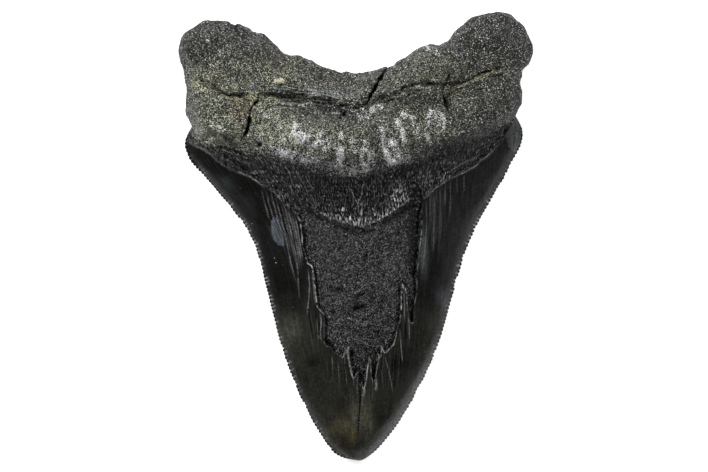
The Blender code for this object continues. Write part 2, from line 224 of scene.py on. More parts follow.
# the flaked place's own hollows and ridges: place, size, turn, height (mm), tone (painted shade in the hollows, painted
# light on the ridges)
DENTINE = ((340.4, 290.6, 5.4, 3.6, 0.1, -0.42, 0.72), (347, 287.4, 4.2, 1.5, 0.9, 0.26, 1.25),
           (360.6, 295.6, 7.4, 2.3, -0.45, -0.36, 0.5), (358.4, 309.6, 7.8, 3.3, -0.3, -0.46, 0.42),
           (352, 319.4, 8.0, 1.7, 0.38, 0.36, 1.55), (367, 324.4, 8.0, 1.6, -0.18, 0.34, 1.5),
           (372, 300.4, 6.0, 2.4, -0.6, -0.3, 0.62), (384, 300, 4.6, 3.0, 0.5, -0.22, 0.7),
           (370, 312, 6.0, 1.8, -0.5, 0.26, 1.25), (346, 301.4, 5.4, 1.8, -0.5, 0.24, 1.2),
           (347, 330, 7.0, 3.0, 0.2, -0.22, 0.75), (358, 334.4, 6.0, 2.6, 0.7, -0.25, 0.7),
           (353, 344, 5.4, 3.2, 0.0, -0.22, 0.7), (366, 344, 5.0, 2.0, 0.6, 0.22, 1.25),
           (376, 336, 6.0, 2.6, -0.5, -0.22, 0.72), (333.4, 316, 4.0, 5.0, 0.0, -0.16, 0.8),
           (387, 322, 3.4, 5.0, 0.0, -0.18, 0.78), (366.6, 257, 2.0, 2.6, 0.0, -0.22, 0.45),
           (339, 249, 1.6, 3.0, 0.3, -0.18, 0.6), (398, 244, 2.0, 4.0, 0.0, -0.18, 0.65),
           (397.6, 232, 1.6, 6.0, 0.1, -0.2, 0.6), (356.6, 277, 2.4, 3.2, 0.2, -0.2, 0.65),
           (380, 262, 3.0, 2.2, 0.0, -0.16, 0.72), (323, 262, 2.4, 3.0, 0.0, -0.16, 0.72),
           (360.4, 362, 4.4, 6.0, 0.0, -0.3, 0.45), (357, 373, 4.0, 7.0, 0.0, -0.25, 0.35), (347, 356, 4.0, 4.6, 0.2, -0.2, 0.45),
           (370, 353, 3.6, 4.0, 0.0, -0.2, 0.5), (331, 345, 5.0, 3.0, 0.6, -0.2, 0.5), (353, 352, 3.6, 3.0, 0.0, -0.25, 0.6))
# soft dark bands on the flaked place and beside the cracks: line, half width, depth (mm), tone
BANDS = ((((300, 206), (311, 212), (322, 218.4), (334, 224.6), (345, 229.6), (358, 234), (372, 232)), 3.2, 0.30, 0.36),
         (((384, 224), (394, 218), (404, 212), (411, 208)), 3.2, 0.20, 0.40),
         (((413, 186), (415.4, 196), (414.8, 207), (414.4, 220), (414, 236), (413.4, 252), (412.6, 264)), 4.2, 0.35, 0.30),
         (((375, 131), (378.6, 141), (380.4, 152), (379.4, 165)), 3.2, 0.5, 0.40),
         (((333, 101), (331, 108), (333, 117)), 3.0, 0.4, 0.45),
         (((222, 147.4), (230, 150), (238, 153), (245, 156)), 1.7, 0.35, 0.12),
         (((226, 157.6), (233, 160.6), (241, 165.6), (249, 172)), 3.0, 0.35, 0.22),
         (((212, 147), (216, 151), (221, 153)), 1.2, 0.25, 0.2),
         (((221, 146), (230, 147.6), (238, 151)), 1.0, 0.2, 0.35),
         (((454, 143.4), (462, 139.6), (470, 138.4), (474, 141), (478, 136.4), (483, 135)), 1.0, 0.3, 0.3),
         (((486, 141), (489, 137), (487, 133)), 0.9, 0.25, 0.35),
         (((500.6, 131), (503.4, 126), (507, 120), (510.6, 113.6)), 1.3, 0.35, 0.3),
         (((462, 128), (472, 125), (482, 121.6), (492, 117)), 3.6, 0.35, 0.45))
# pale, sparkling patches on the root (pale mineral, partly painted highlight) and darker patches of painted shade:
# place, size, amount
GLOW = ((300, 133, 6, 9, 0.55), (319, 143, 7, 8, 0.5), (341, 154, 5, 12, 0.5), (363, 157, 5, 8, 0.45),
        (384, 143, 5, 17, 0.5), (396, 132, 9, 13, 0.5), (405, 128, 5, 12, 0.35), (432, 118, 6, 8, 0.55),
        (442, 124, 4, 10, 0.45), (263, 114, 8, 7, 0.35), (372, 109, 6, 4, 0.6), (391, 104, 5, 3, 0.35),
        (283, 153, 14, 5, 0.6), (262, 152, 8, 5, 0.25), (205, 133, 10, 4, 0.3), (209, 40, 5, 5, 0.4),
        (219, 51, 4, 3, 0.45), (215, 65, 6, 4, 0.4), (232, 44, 4, 5, 0.3), (437, 55, 5, 4, 0.5),
        (428, 48, 4, 3, 0.5), (190, 47, 4, 5, 0.3), (345, 168, 26, 4, 0.25), (309, 161, 10, 4, 0.3),
        (280, 86, 4, 2.4, 0.4), (240, 77, 9, 6, 0.2), (222, 74, 12, 6, 0.2), (278, 131, 7, 10, 0.2),
        (328, 152, 5, 8, 0.35), (418, 142, 7, 8, 0.25), (352, 104, 10, 2, 0.3))
SHADE = ((374, 148, 4, 17, 0.55), (446, 151, 17, 8, 0.5), (331, 107, 13, 6, 0.5), (345, 115, 13, 5, 0.6), (422, 106, 7, 6, 0.4),
         (312, 121, 10, 6, 0.3), (352, 128, 20, 5, 0.35), (309, 152, 5, 7, 0.35), (331, 136, 4, 8, 0.3),
         (352, 160, 3, 8, 0.35), (412, 146, 4, 12, 0.35), (448, 108, 5, 16, 0.5), (428, 152, 14, 5, 0.4),
         (484, 130, 26, 7, 0.5), (468, 118, 9, 6, 0.35), (248, 128, 5, 12, 0.35), (264, 142, 9, 5, 0.35),
         (222, 130, 10, 4, 0.3), (228, 141, 15, 6, 0.55), (430, 150, 18, 8, 0.6), (250, 140, 9, 6, 0.3), (372, 84, 5, 12, 0.3), (236, 34, 6, 8, 0.3), (490, 40, 26, 16, 0.25),
         (524, 50, 8, 24, 0.35), (518, 100, 8, 22, 0.35), (500, 88, 22, 9, 0.2), (410, 98, 20, 3.4, 0.35),
         (392, 118, 4, 5, 0.3), (357, 122, 7, 4, 0.45), (300, 97, 24, 3, 0.4))
# ochre ridges under the furrow's two ends: line, half width, amount
TANS = ((((193, 81), (200, 85), (207, 90), (215, 92.4), (224, 96.8), (231, 98.8), (238, 99.4), (247, 101)), 1.9, 0.75),
        (((247, 95), (252, 97), (256, 95.4)), 2.6, 0.85), (((248, 102), (253, 104)), 2.0, 0.8),
        (((447, 93), (457, 88.4), (466, 84.8), (472, 81.2), (480, 77.4), (488, 75), (498, 72.6)), 1.25, 1.0),
        (((474, 82), (482, 80), (490, 77.4)), 1.2, 0.6), (((322, 81), (325, 86), (326.6, 91)), 1.8, 0.45),
        (((263, 63), (268, 67), (271, 70)), 1.8, 0.5), (((264, 99.4), (272, 101)), 1.4, 0.45),
        (((198, 86), (203, 90)), 1.4, 0.5), (((207, 72), (214, 70), (222, 72)), 1.6, 0.35))
# thin raised lines in the enamel beside the flaked place: line, half width, height, light
LINES = (
    (((262, 190), (265.6, 205), (270, 221)), 0.9, 0.10, 0.3),
    (((266, 190.5), (270, 206), (275, 222), (277.6, 232)), 0.9, 0.12, 0.35),
    (((271, 191.5), (275.6, 210), (280.4, 228), (285, 246)), 0.9, 0.12, 0.4),
    (((275, 194), (279.6, 212), (285.6, 236), (291, 262), (296.6, 284)), 0.9, 0.14, 0.45),
    (((279.5, 199), (284.4, 216), (290.6, 240), (295.5, 262)), 0.9, 0.14, 0.30),
    (((283.5, 203), (288, 219), (293.4, 243), (297, 262), (299.5, 300)), 0.9, 0.16, 0.48),
    (((287.5, 208), (291.6, 222), (296.4, 244), (300, 268)), 0.9, 0.14, 0.42),
    (((291, 212.5), (294.4, 224), (298.6, 246), (302, 266)), 0.9, 0.14, 0.5),
    (((294.5, 215), (297.4, 226), (300.6, 246), (303.4, 262)), 0.8, 0.12, 0.5),
    (((308.2, 268), (309.6, 288), (308.2, 305), (307.2, 317.6)), 0.8, 0.12, 0.6),
    (((312.6, 270), (314, 290), (316, 306)), 0.8, 0.12, 0.5),
    (((320.4, 313), (321.4, 322), (320.6, 332), (321.6, 342)), 0.9, 0.14, 0.6),
    (((317, 318), (317.6, 330), (318.4, 342)), 0.7, 0.08, 0.35),
    (((425.6, 200), (426.4, 222), (425, 246), (422.6, 272)), 0.8, 0.10, 0.30),
    (((429.6, 196), (430, 216), (429, 238)), 0.8, 0.10, 0.18),
    (((433.4, 192), (434, 214), (432.6, 253)), 0.8, 0.10, 0.26),
    (((439.6, 187), (440.2, 210), (439, 241)), 0.8, 0.09, 0.16),
    (((444.6, 184), (445, 206)), 0.8, 0.08, 0.2),
    (((449.7, 181), (450.2, 200), (449.2, 216)), 0.8, 0.08, 0.22),
    (((456.6, 178), (457, 194)), 0.7, 0.07, 0.14),
    (((463.6, 175), (463.8, 192)), 0.7, 0.07, 0.3),
    (((399.6, 329), (401, 346), (402.6, 363.6)), 0.8, 0.10, 0.5),
    (((408.7, 318), (409.2, 330), (409.5, 341)), 0.8, 0.10, 0.5),
    (((403.6, 290), (404.4, 306), (404.2, 322)), 0.8, 0.10, 0.5),
    (((375.4, 380), (375.8, 391)), 1.0, 0.12, 0.55),
    (((345, 349), (345, 357), (344.6, 365)), 0.6, 0.06, 0.35),
    (((357.4, 375), (357.2, 386), (357.6, 397)), 0.6, 0.06, 0.35),
    (((384.8, 356), (388, 368), (390.7, 380), (393, 394)), 0.7, 0.08, 0.45),
    (((372.9, 388), (372.6, 399)), 0.6, 0.06, 0.3),
    (((327, 361), (328.6, 378)), 0.6, 0.05, 0.16), (((333, 360), (331.6, 384)), 0.6, 0.05, 0.14),
    (((340, 366), (339, 392)), 0.6, 0.05, 0.16), (((351, 388), (350, 404)), 0.6, 0.05, 0.2),
    (((381, 368), (384, 392)), 0.6, 0.05, 0.18), (((369, 392), (371, 410)), 0.6, 0.05, 0.15),
    (((353.6, 379), (354, 386)), 0.7, 0.08, 0.4),
    (((362.8, 397), (362.6, 407)), 0.7, 0.08, 0.45),
    (((338, 362), (339, 380)), 0.7, 0.06, 0.25),
    (((332, 356), (333, 370)), 0.7, 0.06, 0.25),
    (((345, 366), (347, 386)), 0.7, 0.06, 0.25),
    (((236, 171.4), (245.8, 175.1), (251.2, 177.4), (256.5, 181.2), (261.1, 184.7), (266, 188.6)),
     0.7, 0.16, 1.0),
    (((186, 141.6), (193.8, 145.4), (202.2, 149.1), (210.6, 153.7), (216, 159.4), (224, 165.4),
      (234, 170.4)), 1.4, 0.07, 0.16),
    (((270.3, 190), (274.9, 192.7), (279.5, 198.1), (284, 203)), 0.7, 0.12, 0.55),
    (((497.6, 144.6), (493.4, 149.4), (489.6, 153.3), (485, 157.5), (480.4, 160.2),
      (475.8, 165.5), (469.7, 169.3), (464.3, 172), (459, 174.7), (453.6, 177.4),
      (447.5, 180.4)), 0.65, 0.16, 1.0),
    (((447.5, 180.4), (441.5, 184), (435.3, 188.2), (429.4, 193.6), (423.4, 199.6)), 0.7, 0.16, 0.85),
    (((481.2, 153.3), (475, 157.9), (466.4, 161.6), (457.4, 166.3), (450, 171.6), (444.4, 174.7),
      (441.4, 180), (436, 184.6)), 0.6, 0.12, 0.8),
)
# light lines in the bourlette, on the bare dentine and across the tip
MARKS = (
    (((346.2, 347.4), (347.6, 352), (348.4, 357), (349, 361)), 1.35, 0.16, 0.75),
    (((349, 359), (350.4, 366), (352, 374), (353.8, 380)), 1.25, 0.14, 1.0),
    (((355.6, 374.4), (358.4, 371.4)), 0.6, 0.08, 0.8),
    (((369.2, 355.6), (368, 364), (366.8, 372), (365.2, 387)), 0.95, 0.14, 1.0),
    (((369.8, 357), (370.8, 366), (371.8, 377), (372.8, 386)), 0.65, 0.10, 0.6),
    (((363.6, 384.6), (364, 391), (363.2, 398)), 1.9, 0.14, 0.9),
    (((376.4, 377.4), (376.6, 384), (376, 391)), 1.4, 0.12, 0.85),
    (((378.6, 351), (379, 357), (377.2, 367), (375.6, 378)), 0.65, 0.10, 0.7),
    (((381, 346), (381.4, 353)), 0.8, 0.10, 0.9), (((383, 345.8), (383, 351.4)), 0.6, 0.08, 0.75),
    (((387.4, 351.6), (390.4, 347.4)), 0.8, 0.10, 0.75),
    (((393, 345.4), (395.6, 338), (396.8, 330)), 0.7, 0.10, 0.9),
    (((344.6, 186.6), (349.2, 187.8), (352, 192), (354.6, 198.6), (357.2, 202.4), (358.4, 208),
      (358.8, 217)), 0.6, 0.06, 0.75),
    (((366.4, 184.6), (362.6, 187), (362, 194), (359.8, 199.6), (357.4, 202.2)), 0.6, 0.06, 0.8),
    (((306.4, 178), (311, 185.4), (314.6, 191.6)), 0.6, 0.06, 0.6),
    (((323, 221.6), (328.4, 223.4), (333.4, 227.2)), 0.65, 0.08, 0.9),
    (((324.5, 225.4), (330, 226.6), (334.8, 225.6)), 0.65, 0.08, 0.8),
    (((286, 166), (290, 174), (293, 181)), 0.6, 0.06, 0.6),
    (((273, 161), (277.4, 168.6), (280, 174)), 0.6, 0.06, 0.5),
    (((297, 171), (301, 179), (304.6, 186)), 0.6, 0.06, 0.55),
    (((258, 168), (262, 174.4), (265, 179)), 0.6, 0.06, 0.5),
    (((247, 163), (251.4, 169.6)), 0.6, 0.05, 0.45),
    (((312, 196), (314.6, 203), (316.6, 208)), 0.6, 0.06, 0.5),
    (((300.6, 203), (305.4, 208.6)), 0.7, 0.06, 0.6),
    (((374, 190), (374.6, 199)), 0.6, 0.05, 0.5),
    (((381, 186), (381.4, 194)), 0.6, 0.05, 0.5),
    (((398, 178), (398.4, 188)), 0.6, 0.05, 0.5),
    (((407.4, 172), (407, 180.6)), 0.6, 0.05, 0.55),
    (((420, 168), (418.6, 178)), 0.6, 0.05, 0.5),
    (((428.4, 166), (426.6, 176.6)), 0.6, 0.05, 0.55),
    (((437, 161), (434.4, 171)), 0.6, 0.05, 0.5),
    (((446, 158), (443.4, 166)), 0.6, 0.05, 0.5),
    (((463.8, 155), (466.4, 161)), 0.55, 0.05, 0.45),
    (((471, 139.6), (468.4, 134.4), (472.4, 131.4)), 0.7, 0.15, 0.35),
    (((486.4, 146.6), (480, 149.4), (474, 153.4)), 0.5, 0.05, 0.4),
)
# pale spots: place, size, strength
PALE = ((279.6, 81.8, 3.7, 1.3, 1.0), (358.3, 428, 0.3, 0.35, 0.6), (358.2, 431, 0.3, 0.35, 0.6),
        (358.5, 434.4, 0.3, 0.4, 0.6), (252, 223.6, 0.35, 0.35, 0.8), (274.6, 258, 0.32, 0.4, 0.8),
        (276, 262.6, 0.35, 0.35, 0.9), (407, 369, 0.3, 0.3, 0.7), (342, 232, 0.3, 0.3, 0.7), (346, 234, 0.35, 0.3, 0.9),
        (349, 231, 0.3, 0.3, 0.7), (352.4, 235, 0.35, 0.3, 0.8), (355, 233, 0.3, 0.3, 0.7), (348.6, 236, 0.3, 0.3, 0.7),
        (344.6, 229.6, 0.3, 0.3, 0.6), (319.6, 233.6, 0.35, 0.3, 0.7), (334, 228, 0.3, 0.3, 0.7), (338.6, 230, 0.3, 0.3, 0.7),
        (417.4, 204, 0.3, 0.4, 0.7), (417, 209.4, 0.35, 0.4, 0.9), (413, 192, 0.3, 0.3, 0.6), (412.4, 211, 0.3, 0.3, 0.5), (199.4, 50.6, 0.9, 0.7, 0.9),
        (193.4, 44.2, 0.6, 1.1, 0.8), (181.6, 47.8, 0.8, 0.7, 0.9), (278, 340, 0.4, 0.4, 0.5))


# ------------------------------------------------------------------ small tools
def smooth(a, b, x):
    s = np.clip((x - a) / (b - a), 0.0, 1.0)
    return s * s * (3.0 - 2.0 * s)


def curve(points, step, closed=False):
    """Centripetal Catmull-Rom curve through points, evenly re-spaced."""
    p = np.asarray(points, float)
    if closed:
        ring = np.vstack([p[-1:], p, p[:2]])
    else:
        ring = np.vstack([2 * p[:1] - p[1:2], p, 2 * p[-1:] - p[-2:-1]])
    out = []
    for a, b, c, d in zip(ring, ring[1:], ring[2:], ring[3:]):
        t1 = max(np.hypot(*(b - a)), 1e-6) ** 0.5
        t2 = t1 + max(np.hypot(*(c - b)), 1e-6) ** 0.5
        t3 = t2 + max(np.hypot(*(d - c)), 1e-6) ** 0.5
        t = np.linspace(t1, t2, 16, endpoint=False)[:, None]
        ab = a * (t1 - t) / t1 + b * t / t1
        bc = b * (t2 - t) / (t2 - t1) + c * (t - t1) / (t2 - t1)
        cd = c * (t3 - t) / (t3 - t2) + d * (t - t2) / (t3 - t2)
        abc = ab * (t2 - t) / t2 + bc * t / t2
        bcd = bc * (t3 - t) / (t3 - t1) + cd * (t - t1) / (t3 - t1)
        out.append(abc * (t2 - t) / (t2 - t1) + bcd * (t - t1) / (t2 - t1))
    out = np.vstack(out + [p[:1] if closed else p[-1:]])
    run = np.concatenate([[0.0], np.cumsum(np.hypot(*np.diff(out, axis=0).T))])
    n = max(int(round(run[-1] / step)), 2)
    at = np.linspace(0.0, run[-1], n, endpoint=not closed)
    return np.stack([np.interp(at, run, out[:, 0]), np.interp(at, run, out[:, 1])], 1)


def jagged(line, amount, seed):
    """The line with small sideways kinks, its ends left alone."""
    k = np.arange(len(line), dtype=float)
    way = np.gradient(line, axis=0)
    side = np.stack([-way[:, 1], way[:, 0]], 1) / np.maximum(np.hypot(*way.T), 1e-9)[:, None]
    off = grain(k / 2.6, k * 0.0 + seed, 71) + 0.7 * grain(k / 1.1, k * 0.0 + seed, 72)
    return line + side * (amount * off * np.clip(np.minimum(k, k[-1] - k) / 2.0, 0.0, 1.0))[:, None]


def straight(points, step, closed=False):
    """Straight runs between the drafted corners, evenly re-spaced."""
    p = np.asarray(points, float)
    p = np.vstack([p, p[:1]]) if closed else p
    run = np.concatenate([[0.0], np.cumsum(np.hypot(*np.diff(p, axis=0).T))])
    at_run = np.linspace(0.0, run[-1], max(int(round(run[-1] / step)), 2), endpoint=not closed)
    return np.stack([np.interp(at_run, run, p[:, 0]), np.interp(at_run, run, p[:, 1])], 1)


def drawn(line, seed):
    """A line as it is used: borders are ragged, scratches nearly straight."""
    c = curve(line, 1.3)
    wide, tall = np.ptp(c, axis=0)
    return jagged(c, 0.75 if wide > 0.45 * tall else 0.22, seed)


def measure(points, line, closed=False, reach=None):
    """Distance to a polyline, length run along it to the nearest place, and the side."""
    line = np.asarray(line, float)
    a = line if closed else line[:-1]
    b = np.roll(line, -1, axis=0) if closed else line[1:]
    seg = b - a
    size = np.hypot(*seg.T)
    start = np.concatenate([[0.0], np.cumsum(size)])[:-1]
    best = np.full(len(points), 1e9)
    run = np.zeros(len(points))
    side = np.ones(len(points))
    if reach is None:
        take = np.arange(len(points))
    else:
        lo, hi = line.min(axis=0) - reach, line.max(axis=0) + reach
        take = np.nonzero(((points > lo) & (points < hi)).all(axis=1))[0]
    for chunk in np.array_split(take, max(1, len(take) // 3000)):
        if not len(chunk):
            continue
        p = points[chunk]
        rel = p[:, None, :] - a[None]
        s = np.clip((rel * seg).sum(2) / np.maximum(size ** 2, 1e-12), 0.0, 1.0)
        gap = rel - s[..., None] * seg
        d2 = (gap ** 2).sum(2)
        k = d2.argmin(1)
        i = np.arange(len(chunk))
        best[chunk] = np.sqrt(d2[i, k])
        run[chunk] = start[k] + s[i, k] * size[k]
        cross = seg[k, 0] * rel[i, k, 1] - seg[k, 1] * rel[i, k, 0]
        side[chunk] = np.where(cross >= 0, 1.0, -1.0)
    return best, run, side


def to_ring(points, ring):
    """As measure, for a dense closed ring: only the two sides at the nearest corner are tried."""
    ring = np.asarray(ring, float)
    tree = KDTree(len(ring))
    for i, p in enumerate(ring):
        tree.insert((p[0], p[1], 0.0), i)
    tree.balance()
    near = np.array([tree.find((p[0], p[1], 0.0))[1] for p in points])
    size = np.hypot(*(np.roll(ring, -1, axis=0) - ring).T)
    start = np.concatenate([[0.0], np.cumsum(size)])[:-1]
    best = np.full(len(points), 1e9)
    run = np.zeros(len(points))
    for k in (near, (near - 1) % len(ring)):
        a, b = ring[k], ring[(k + 1) % len(ring)]
        seg = b - a
        s = np.clip(((points - a) * seg).sum(1) / np.maximum((seg ** 2).sum(1), 1e-12), 0.0, 1.0)
        d = np.hypot(*(points - a - s[:, None] * seg).T)
        better = d < best
        best = np.where(better, d, best)
        run = np.where(better, start[k] + s * size[k], run)
    return best, run


def inside(points, ring):
    g, h = points.T
    hit = np.zeros(len(points), bool)
    order = np.argsort(h, kind="stable")
    hs = h[order]
    for (g1, h1), (g2, h2) in zip(ring, np.roll(ring, -1, axis=0)):
        if h1 != h2:
            a, b = np.searchsorted(hs, (min(h1, h2), max(h1, h2)), side="left")
            k = order[a:b]
            hit[k] ^= g[k] < (g2 - g1) * (h[k] - h1) / (h2 - h1) + g1
    return hit


def at(line, g):
    line = np.asarray(line, float)
    return np.interp(g, line[:, 0], line[:, 1])


def lattice(ix, iy, seed):
    with np.errstate(over="ignore"):
        k = (ix.astype(np.uint32) * np.uint32(374761393)
             + iy.astype(np.uint32) * np.uint32(668265263)
             + np.uint32(seed * 974711 + 12345))
        k = (k ^ (k >> np.uint32(13))) * np.uint32(1274126177)
        k = k ^ (k >> np.uint32(16))
    return k.astype(np.float64) / 4294967295.0


def grain(x, y, seed):
    """Smooth gradient noise in about -1..1."""
    x0, y0 = np.floor(x), np.floor(y)
    fx, fy = x - x0, y - y0
    ix, iy = x0.astype(np.int64), y0.astype(np.int64)
    total = 0.0
    wx = fx * fx * fx * (fx * (fx * 6 - 15) + 10)
    wy = fy * fy * fy * (fy * (fy * 6 - 15) + 10)
    for dx in (0, 1):
        for dy in (0, 1):
            turn = lattice(ix + dx, iy + dy, seed) * 2 * math.pi
            dot = np.cos(turn) * (fx - dx) + np.sin(turn) * (fy - dy)
            total = total + dot * (wx if dx else 1 - wx) * (wy if dy else 1 - wy)
    return total * 1.5


def cloudy(x, y, seed, octaves=3):
    total, size, norm = 0.0, 1.0, 0.0
    for k in range(octaves):
        total = total + size * grain(x * 2 ** k, y * 2 ** k, seed + 17 * k)
        norm += size
        size *= 0.55
    return total / norm


def spot(gc, hc, rg, rh, power=1.0, turn=0.0, where=None):
    """A soft oval, 1 in its middle."""
    gg, hh = (SPOT_G, SPOT_H) if where is None else where
    c, s = math.cos(turn), math.sin(turn)
    x, y = (gg - gc) * c + (hh - hc) * s, -(gg - gc) * s + (hh - hc) * c
    return np.exp(-((x / rg) ** 2 + (y / rh) ** 2) ** power)


# ------------------------------------------------------------------ outline with serrations
PITCH = 3.85
root_part = curve(ROOT_LINE, 1.15)
blade_part = curve((ROOT_LINE[-1],) + RIGHT_BLADE + (TIP,) + LEFT_BLADE + (ROOT_LINE[0],), 0.96)
run = np.concatenate([[0.0], np.cumsum(np.hypot(*np.diff(blade_part, axis=0).T))])
ahead = np.gradient(blade_part, axis=0)
outward = np.stack([ahead[:, 1], -ahead[:, 0]], 1) / np.hypot(*ahead.T)[:, None]
tooth_no = run / PITCH + 0.35 * grain(run / 31.0, run * 0 + 0.5, 3)
each = lattice(np.floor(tooth_no).astype(np.int64), np.zeros(len(run), np.int64), 5)
swell = np.abs(np.sin(math.pi * tooth_no)) ** 0.75
tip_run = run[np.argmax(blade_part[:, 1])]
worn = smooth(2.0, 26.0, run) * smooth(2.0, 26.0, run[-1] - run) * smooth(6.0, 26.0, np.abs(run - tip_run))
bite = (0.95 + 0.75 * each) * (swell - 0.62) * worn
bite -= np.where(each > 0.9, 0.7, 0.0) * worn
# direction check: outward must point away from the middle of the blade
if ((blade_part - (355, 250)) * outward).sum() < 0:
    outward = -outward
blade_cut = blade_part + outward * bite[:, None]
outline = np.vstack([root_part[:-1], blade_cut[:-1]])
plain = np.vstack([root_part[:-1], blade_part[:-1]])
n_root = len(root_part) - 1

left_side = np.array((ROOT_LINE[0],) + tuple(reversed(LEFT_BLADE)) + (TIP,))
right_side = np.array((ROOT_LINE[-1],) + RIGHT_BLADE + (TIP,))
bare_ring = jagged(straight(BARE, 0.9, closed=True), 0.28, 5.0)
furrow = curve(FURROW, 1.5)
foot_line = curve(ROOT_FOOT, 1.5)
bour_line = curve(BOUR_FOOT, 1.5)


# ------------------------------------------------------------------ points of the two skins
def rows(line, offsets, step_every=1, closed=False):
    way = np.gradient(line, axis=0)
    side = np.stack([-way[:, 1], way[:, 0]], 1) / np.maximum(np.hypot(*way.T), 1e-9)[:, None]
    found = []
    for i, off in enumerate(offsets):
        shifted = line + side * off
        if i % 2:
            shifted = 0.5 * (shifted + np.roll(shifted, -1, axis=0))[: len(line) - (0 if closed else 1)]
        found.append(shifted)
    return np.vstack(found)


def thin_out(groups, gaps):
    """Keeps points in order of rank, each at least its gap from those kept before."""
    cell = 1.0
    kept, table = [], {}
    for group, gap in zip(groups, gaps):
        for p in group:
            key = (int(p[0] // cell), int(p[1] // cell))
            near = False
            span = int(gap // cell) + 1
            for i in range(key[0] - span, key[0] + span + 1):
                for j in range(key[1] - span, key[1] + span + 1):
                    for q in table.get((i, j), ()):
                        if (q[0] - p[0]) ** 2 + (q[1] - p[1]) ** 2 < gap * gap:
                            near = True
                            break
                    if near:
                        break
                if near:
                    break
            if not near:
                kept.append((p[0], p[1]))
                table.setdefault(key, []).append((p[0], p[1]))
    return np.array(kept)


def rim_rows(distances):
    way = np.roll(outline, -1, axis=0) - np.roll(outline, 1, axis=0)
    inward = np.stack([-way[:, 1], way[:, 0]], 1) / np.hypot(*way.T)[:, None]
    middle = outline[:, None].mean(axis=0)
    if ((outline - middle) * inward).sum() > 0:
        inward = -inward
    found = []
    for i, far in enumerate(distances):
        shifted = outline + inward * far
        if i % 2:
            shifted = 0.5 * (shifted + np.roll(shifted, -1, axis=0))
        gap = to_ring(shifted, outline)[0]
        found.append(shifted[(gap > 0.85 * far) & inside(shifted, outline)])
    return found


def hexes(step, margin):
    g = np.arange(176.0, 536.0, step)
    h = np.arange(10.0, 463.0, step * math.sqrt(0.75))
    gg, hh = np.meshgrid(g, h)
    gg[1::2] += step / 2.0
    field = np.stack([gg.ravel(), hh.ravel()], 1)
    field = field[inside(field, outline)]
    return field[to_ring(field, plain)[0] > margin]


def triangulate(inner):
    points = np.vstack([outline, inner])
    verts, _, faces, origin, _, _ = delaunay_2d_cdt(
        [Vector(p) for p in points], [], [list(range(len(outline)))], 1, 1e-7)
    if len(verts) != len(points):
        raise ValueError("drafted points fall together")
    return points, faces


features = []
for line, w, _ in CRACKS:
    c = curve(line, 1.0)
    features.append(rows(c, (0.0, 0.55 * w, -0.55 * w, 1.1 * w, -1.1 * w)))
features.append(rows(bare_ring, (-1.5, -0.65, 0.3, 1.3), closed=True))
for i, (line, w, _, _) in enumerate(LINES + MARKS):
    features.append(rows(drawn(line, i), (0.0, 0.75 * w, -0.75 * w)))
for gc, hc, rg, rh, _ in PALE:
    if rg < 3.0:
        features.append(np.array([(gc, hc), (gc + rg, hc), (gc - rg, hc), (gc, hc + rh), (gc, hc - rh)]))
features = np.vstack(features)
features = features[inside(features, outline)]
features = features[to_ring(features, outline)[0] > 0.8]
rim_near = rim_rows((0.5, 1.2, 2.1, 3.2, 4.5))
field = hexes(1.26, 5.2)
grid = KDTree(len(features))
for i, p in enumerate(features):
    grid.insert((p[0], p[1], 0.0), i)
grid.balance()
field = np.array([p for p in field if grid.find((p[0], p[1], 0.0))[2] > 0.72])
few = thin_out([features] + rim_near, [0.42] + [0.45, 0.55, 0.7, 0.8, 0.9])
top_points, top_faces = triangulate(np.vstack([few, field]))
under_rim = rim_rows((0.6, 1.7, 3.2, 5.2))
under_points, under_faces = triangulate(
    np.vstack([thin_out(under_rim, [0.5, 0.8, 1.1, 1.5]), hexes(2.6, 6.4)]))
print("triangles", len(top_faces) + len(under_faces))


# ------------------------------------------------------------------ heights
def edge_height(g, h):
    root = 5.6 + 2.4 * np.exp(-(((g - 350.0) / 75.0) ** 2))
    blade = 2.7 + 0.5 * smooth(400.0, 461.0, h)
    return root + (blade - root) * smooth(96.0, 140.0, h)


def calm(line):
    """A side line without its small nicks, as g for each whole h."""
    level = np.arange(90.0, 470.0)
    raw = np.interp(level, line[:, 1], line[:, 0])
    k = np.exp(-0.5 * (np.arange(-24, 25) / 8.0) ** 2)
    return level, np.convolve(np.pad(raw, 24, mode="edge"), k / k.sum(), mode="valid")


LEFT_CALM, RIGHT_CALM = calm(left_side), calm(right_side)


def across(g, h):
    lo = np.interp(h, *LEFT_CALM)
    hi = np.interp(h, *RIGHT_CALM)
    return np.clip((g - 0.5 * (lo + hi)) / np.maximum(0.5 * (hi - lo), 1.0), -1.0, 1.0)


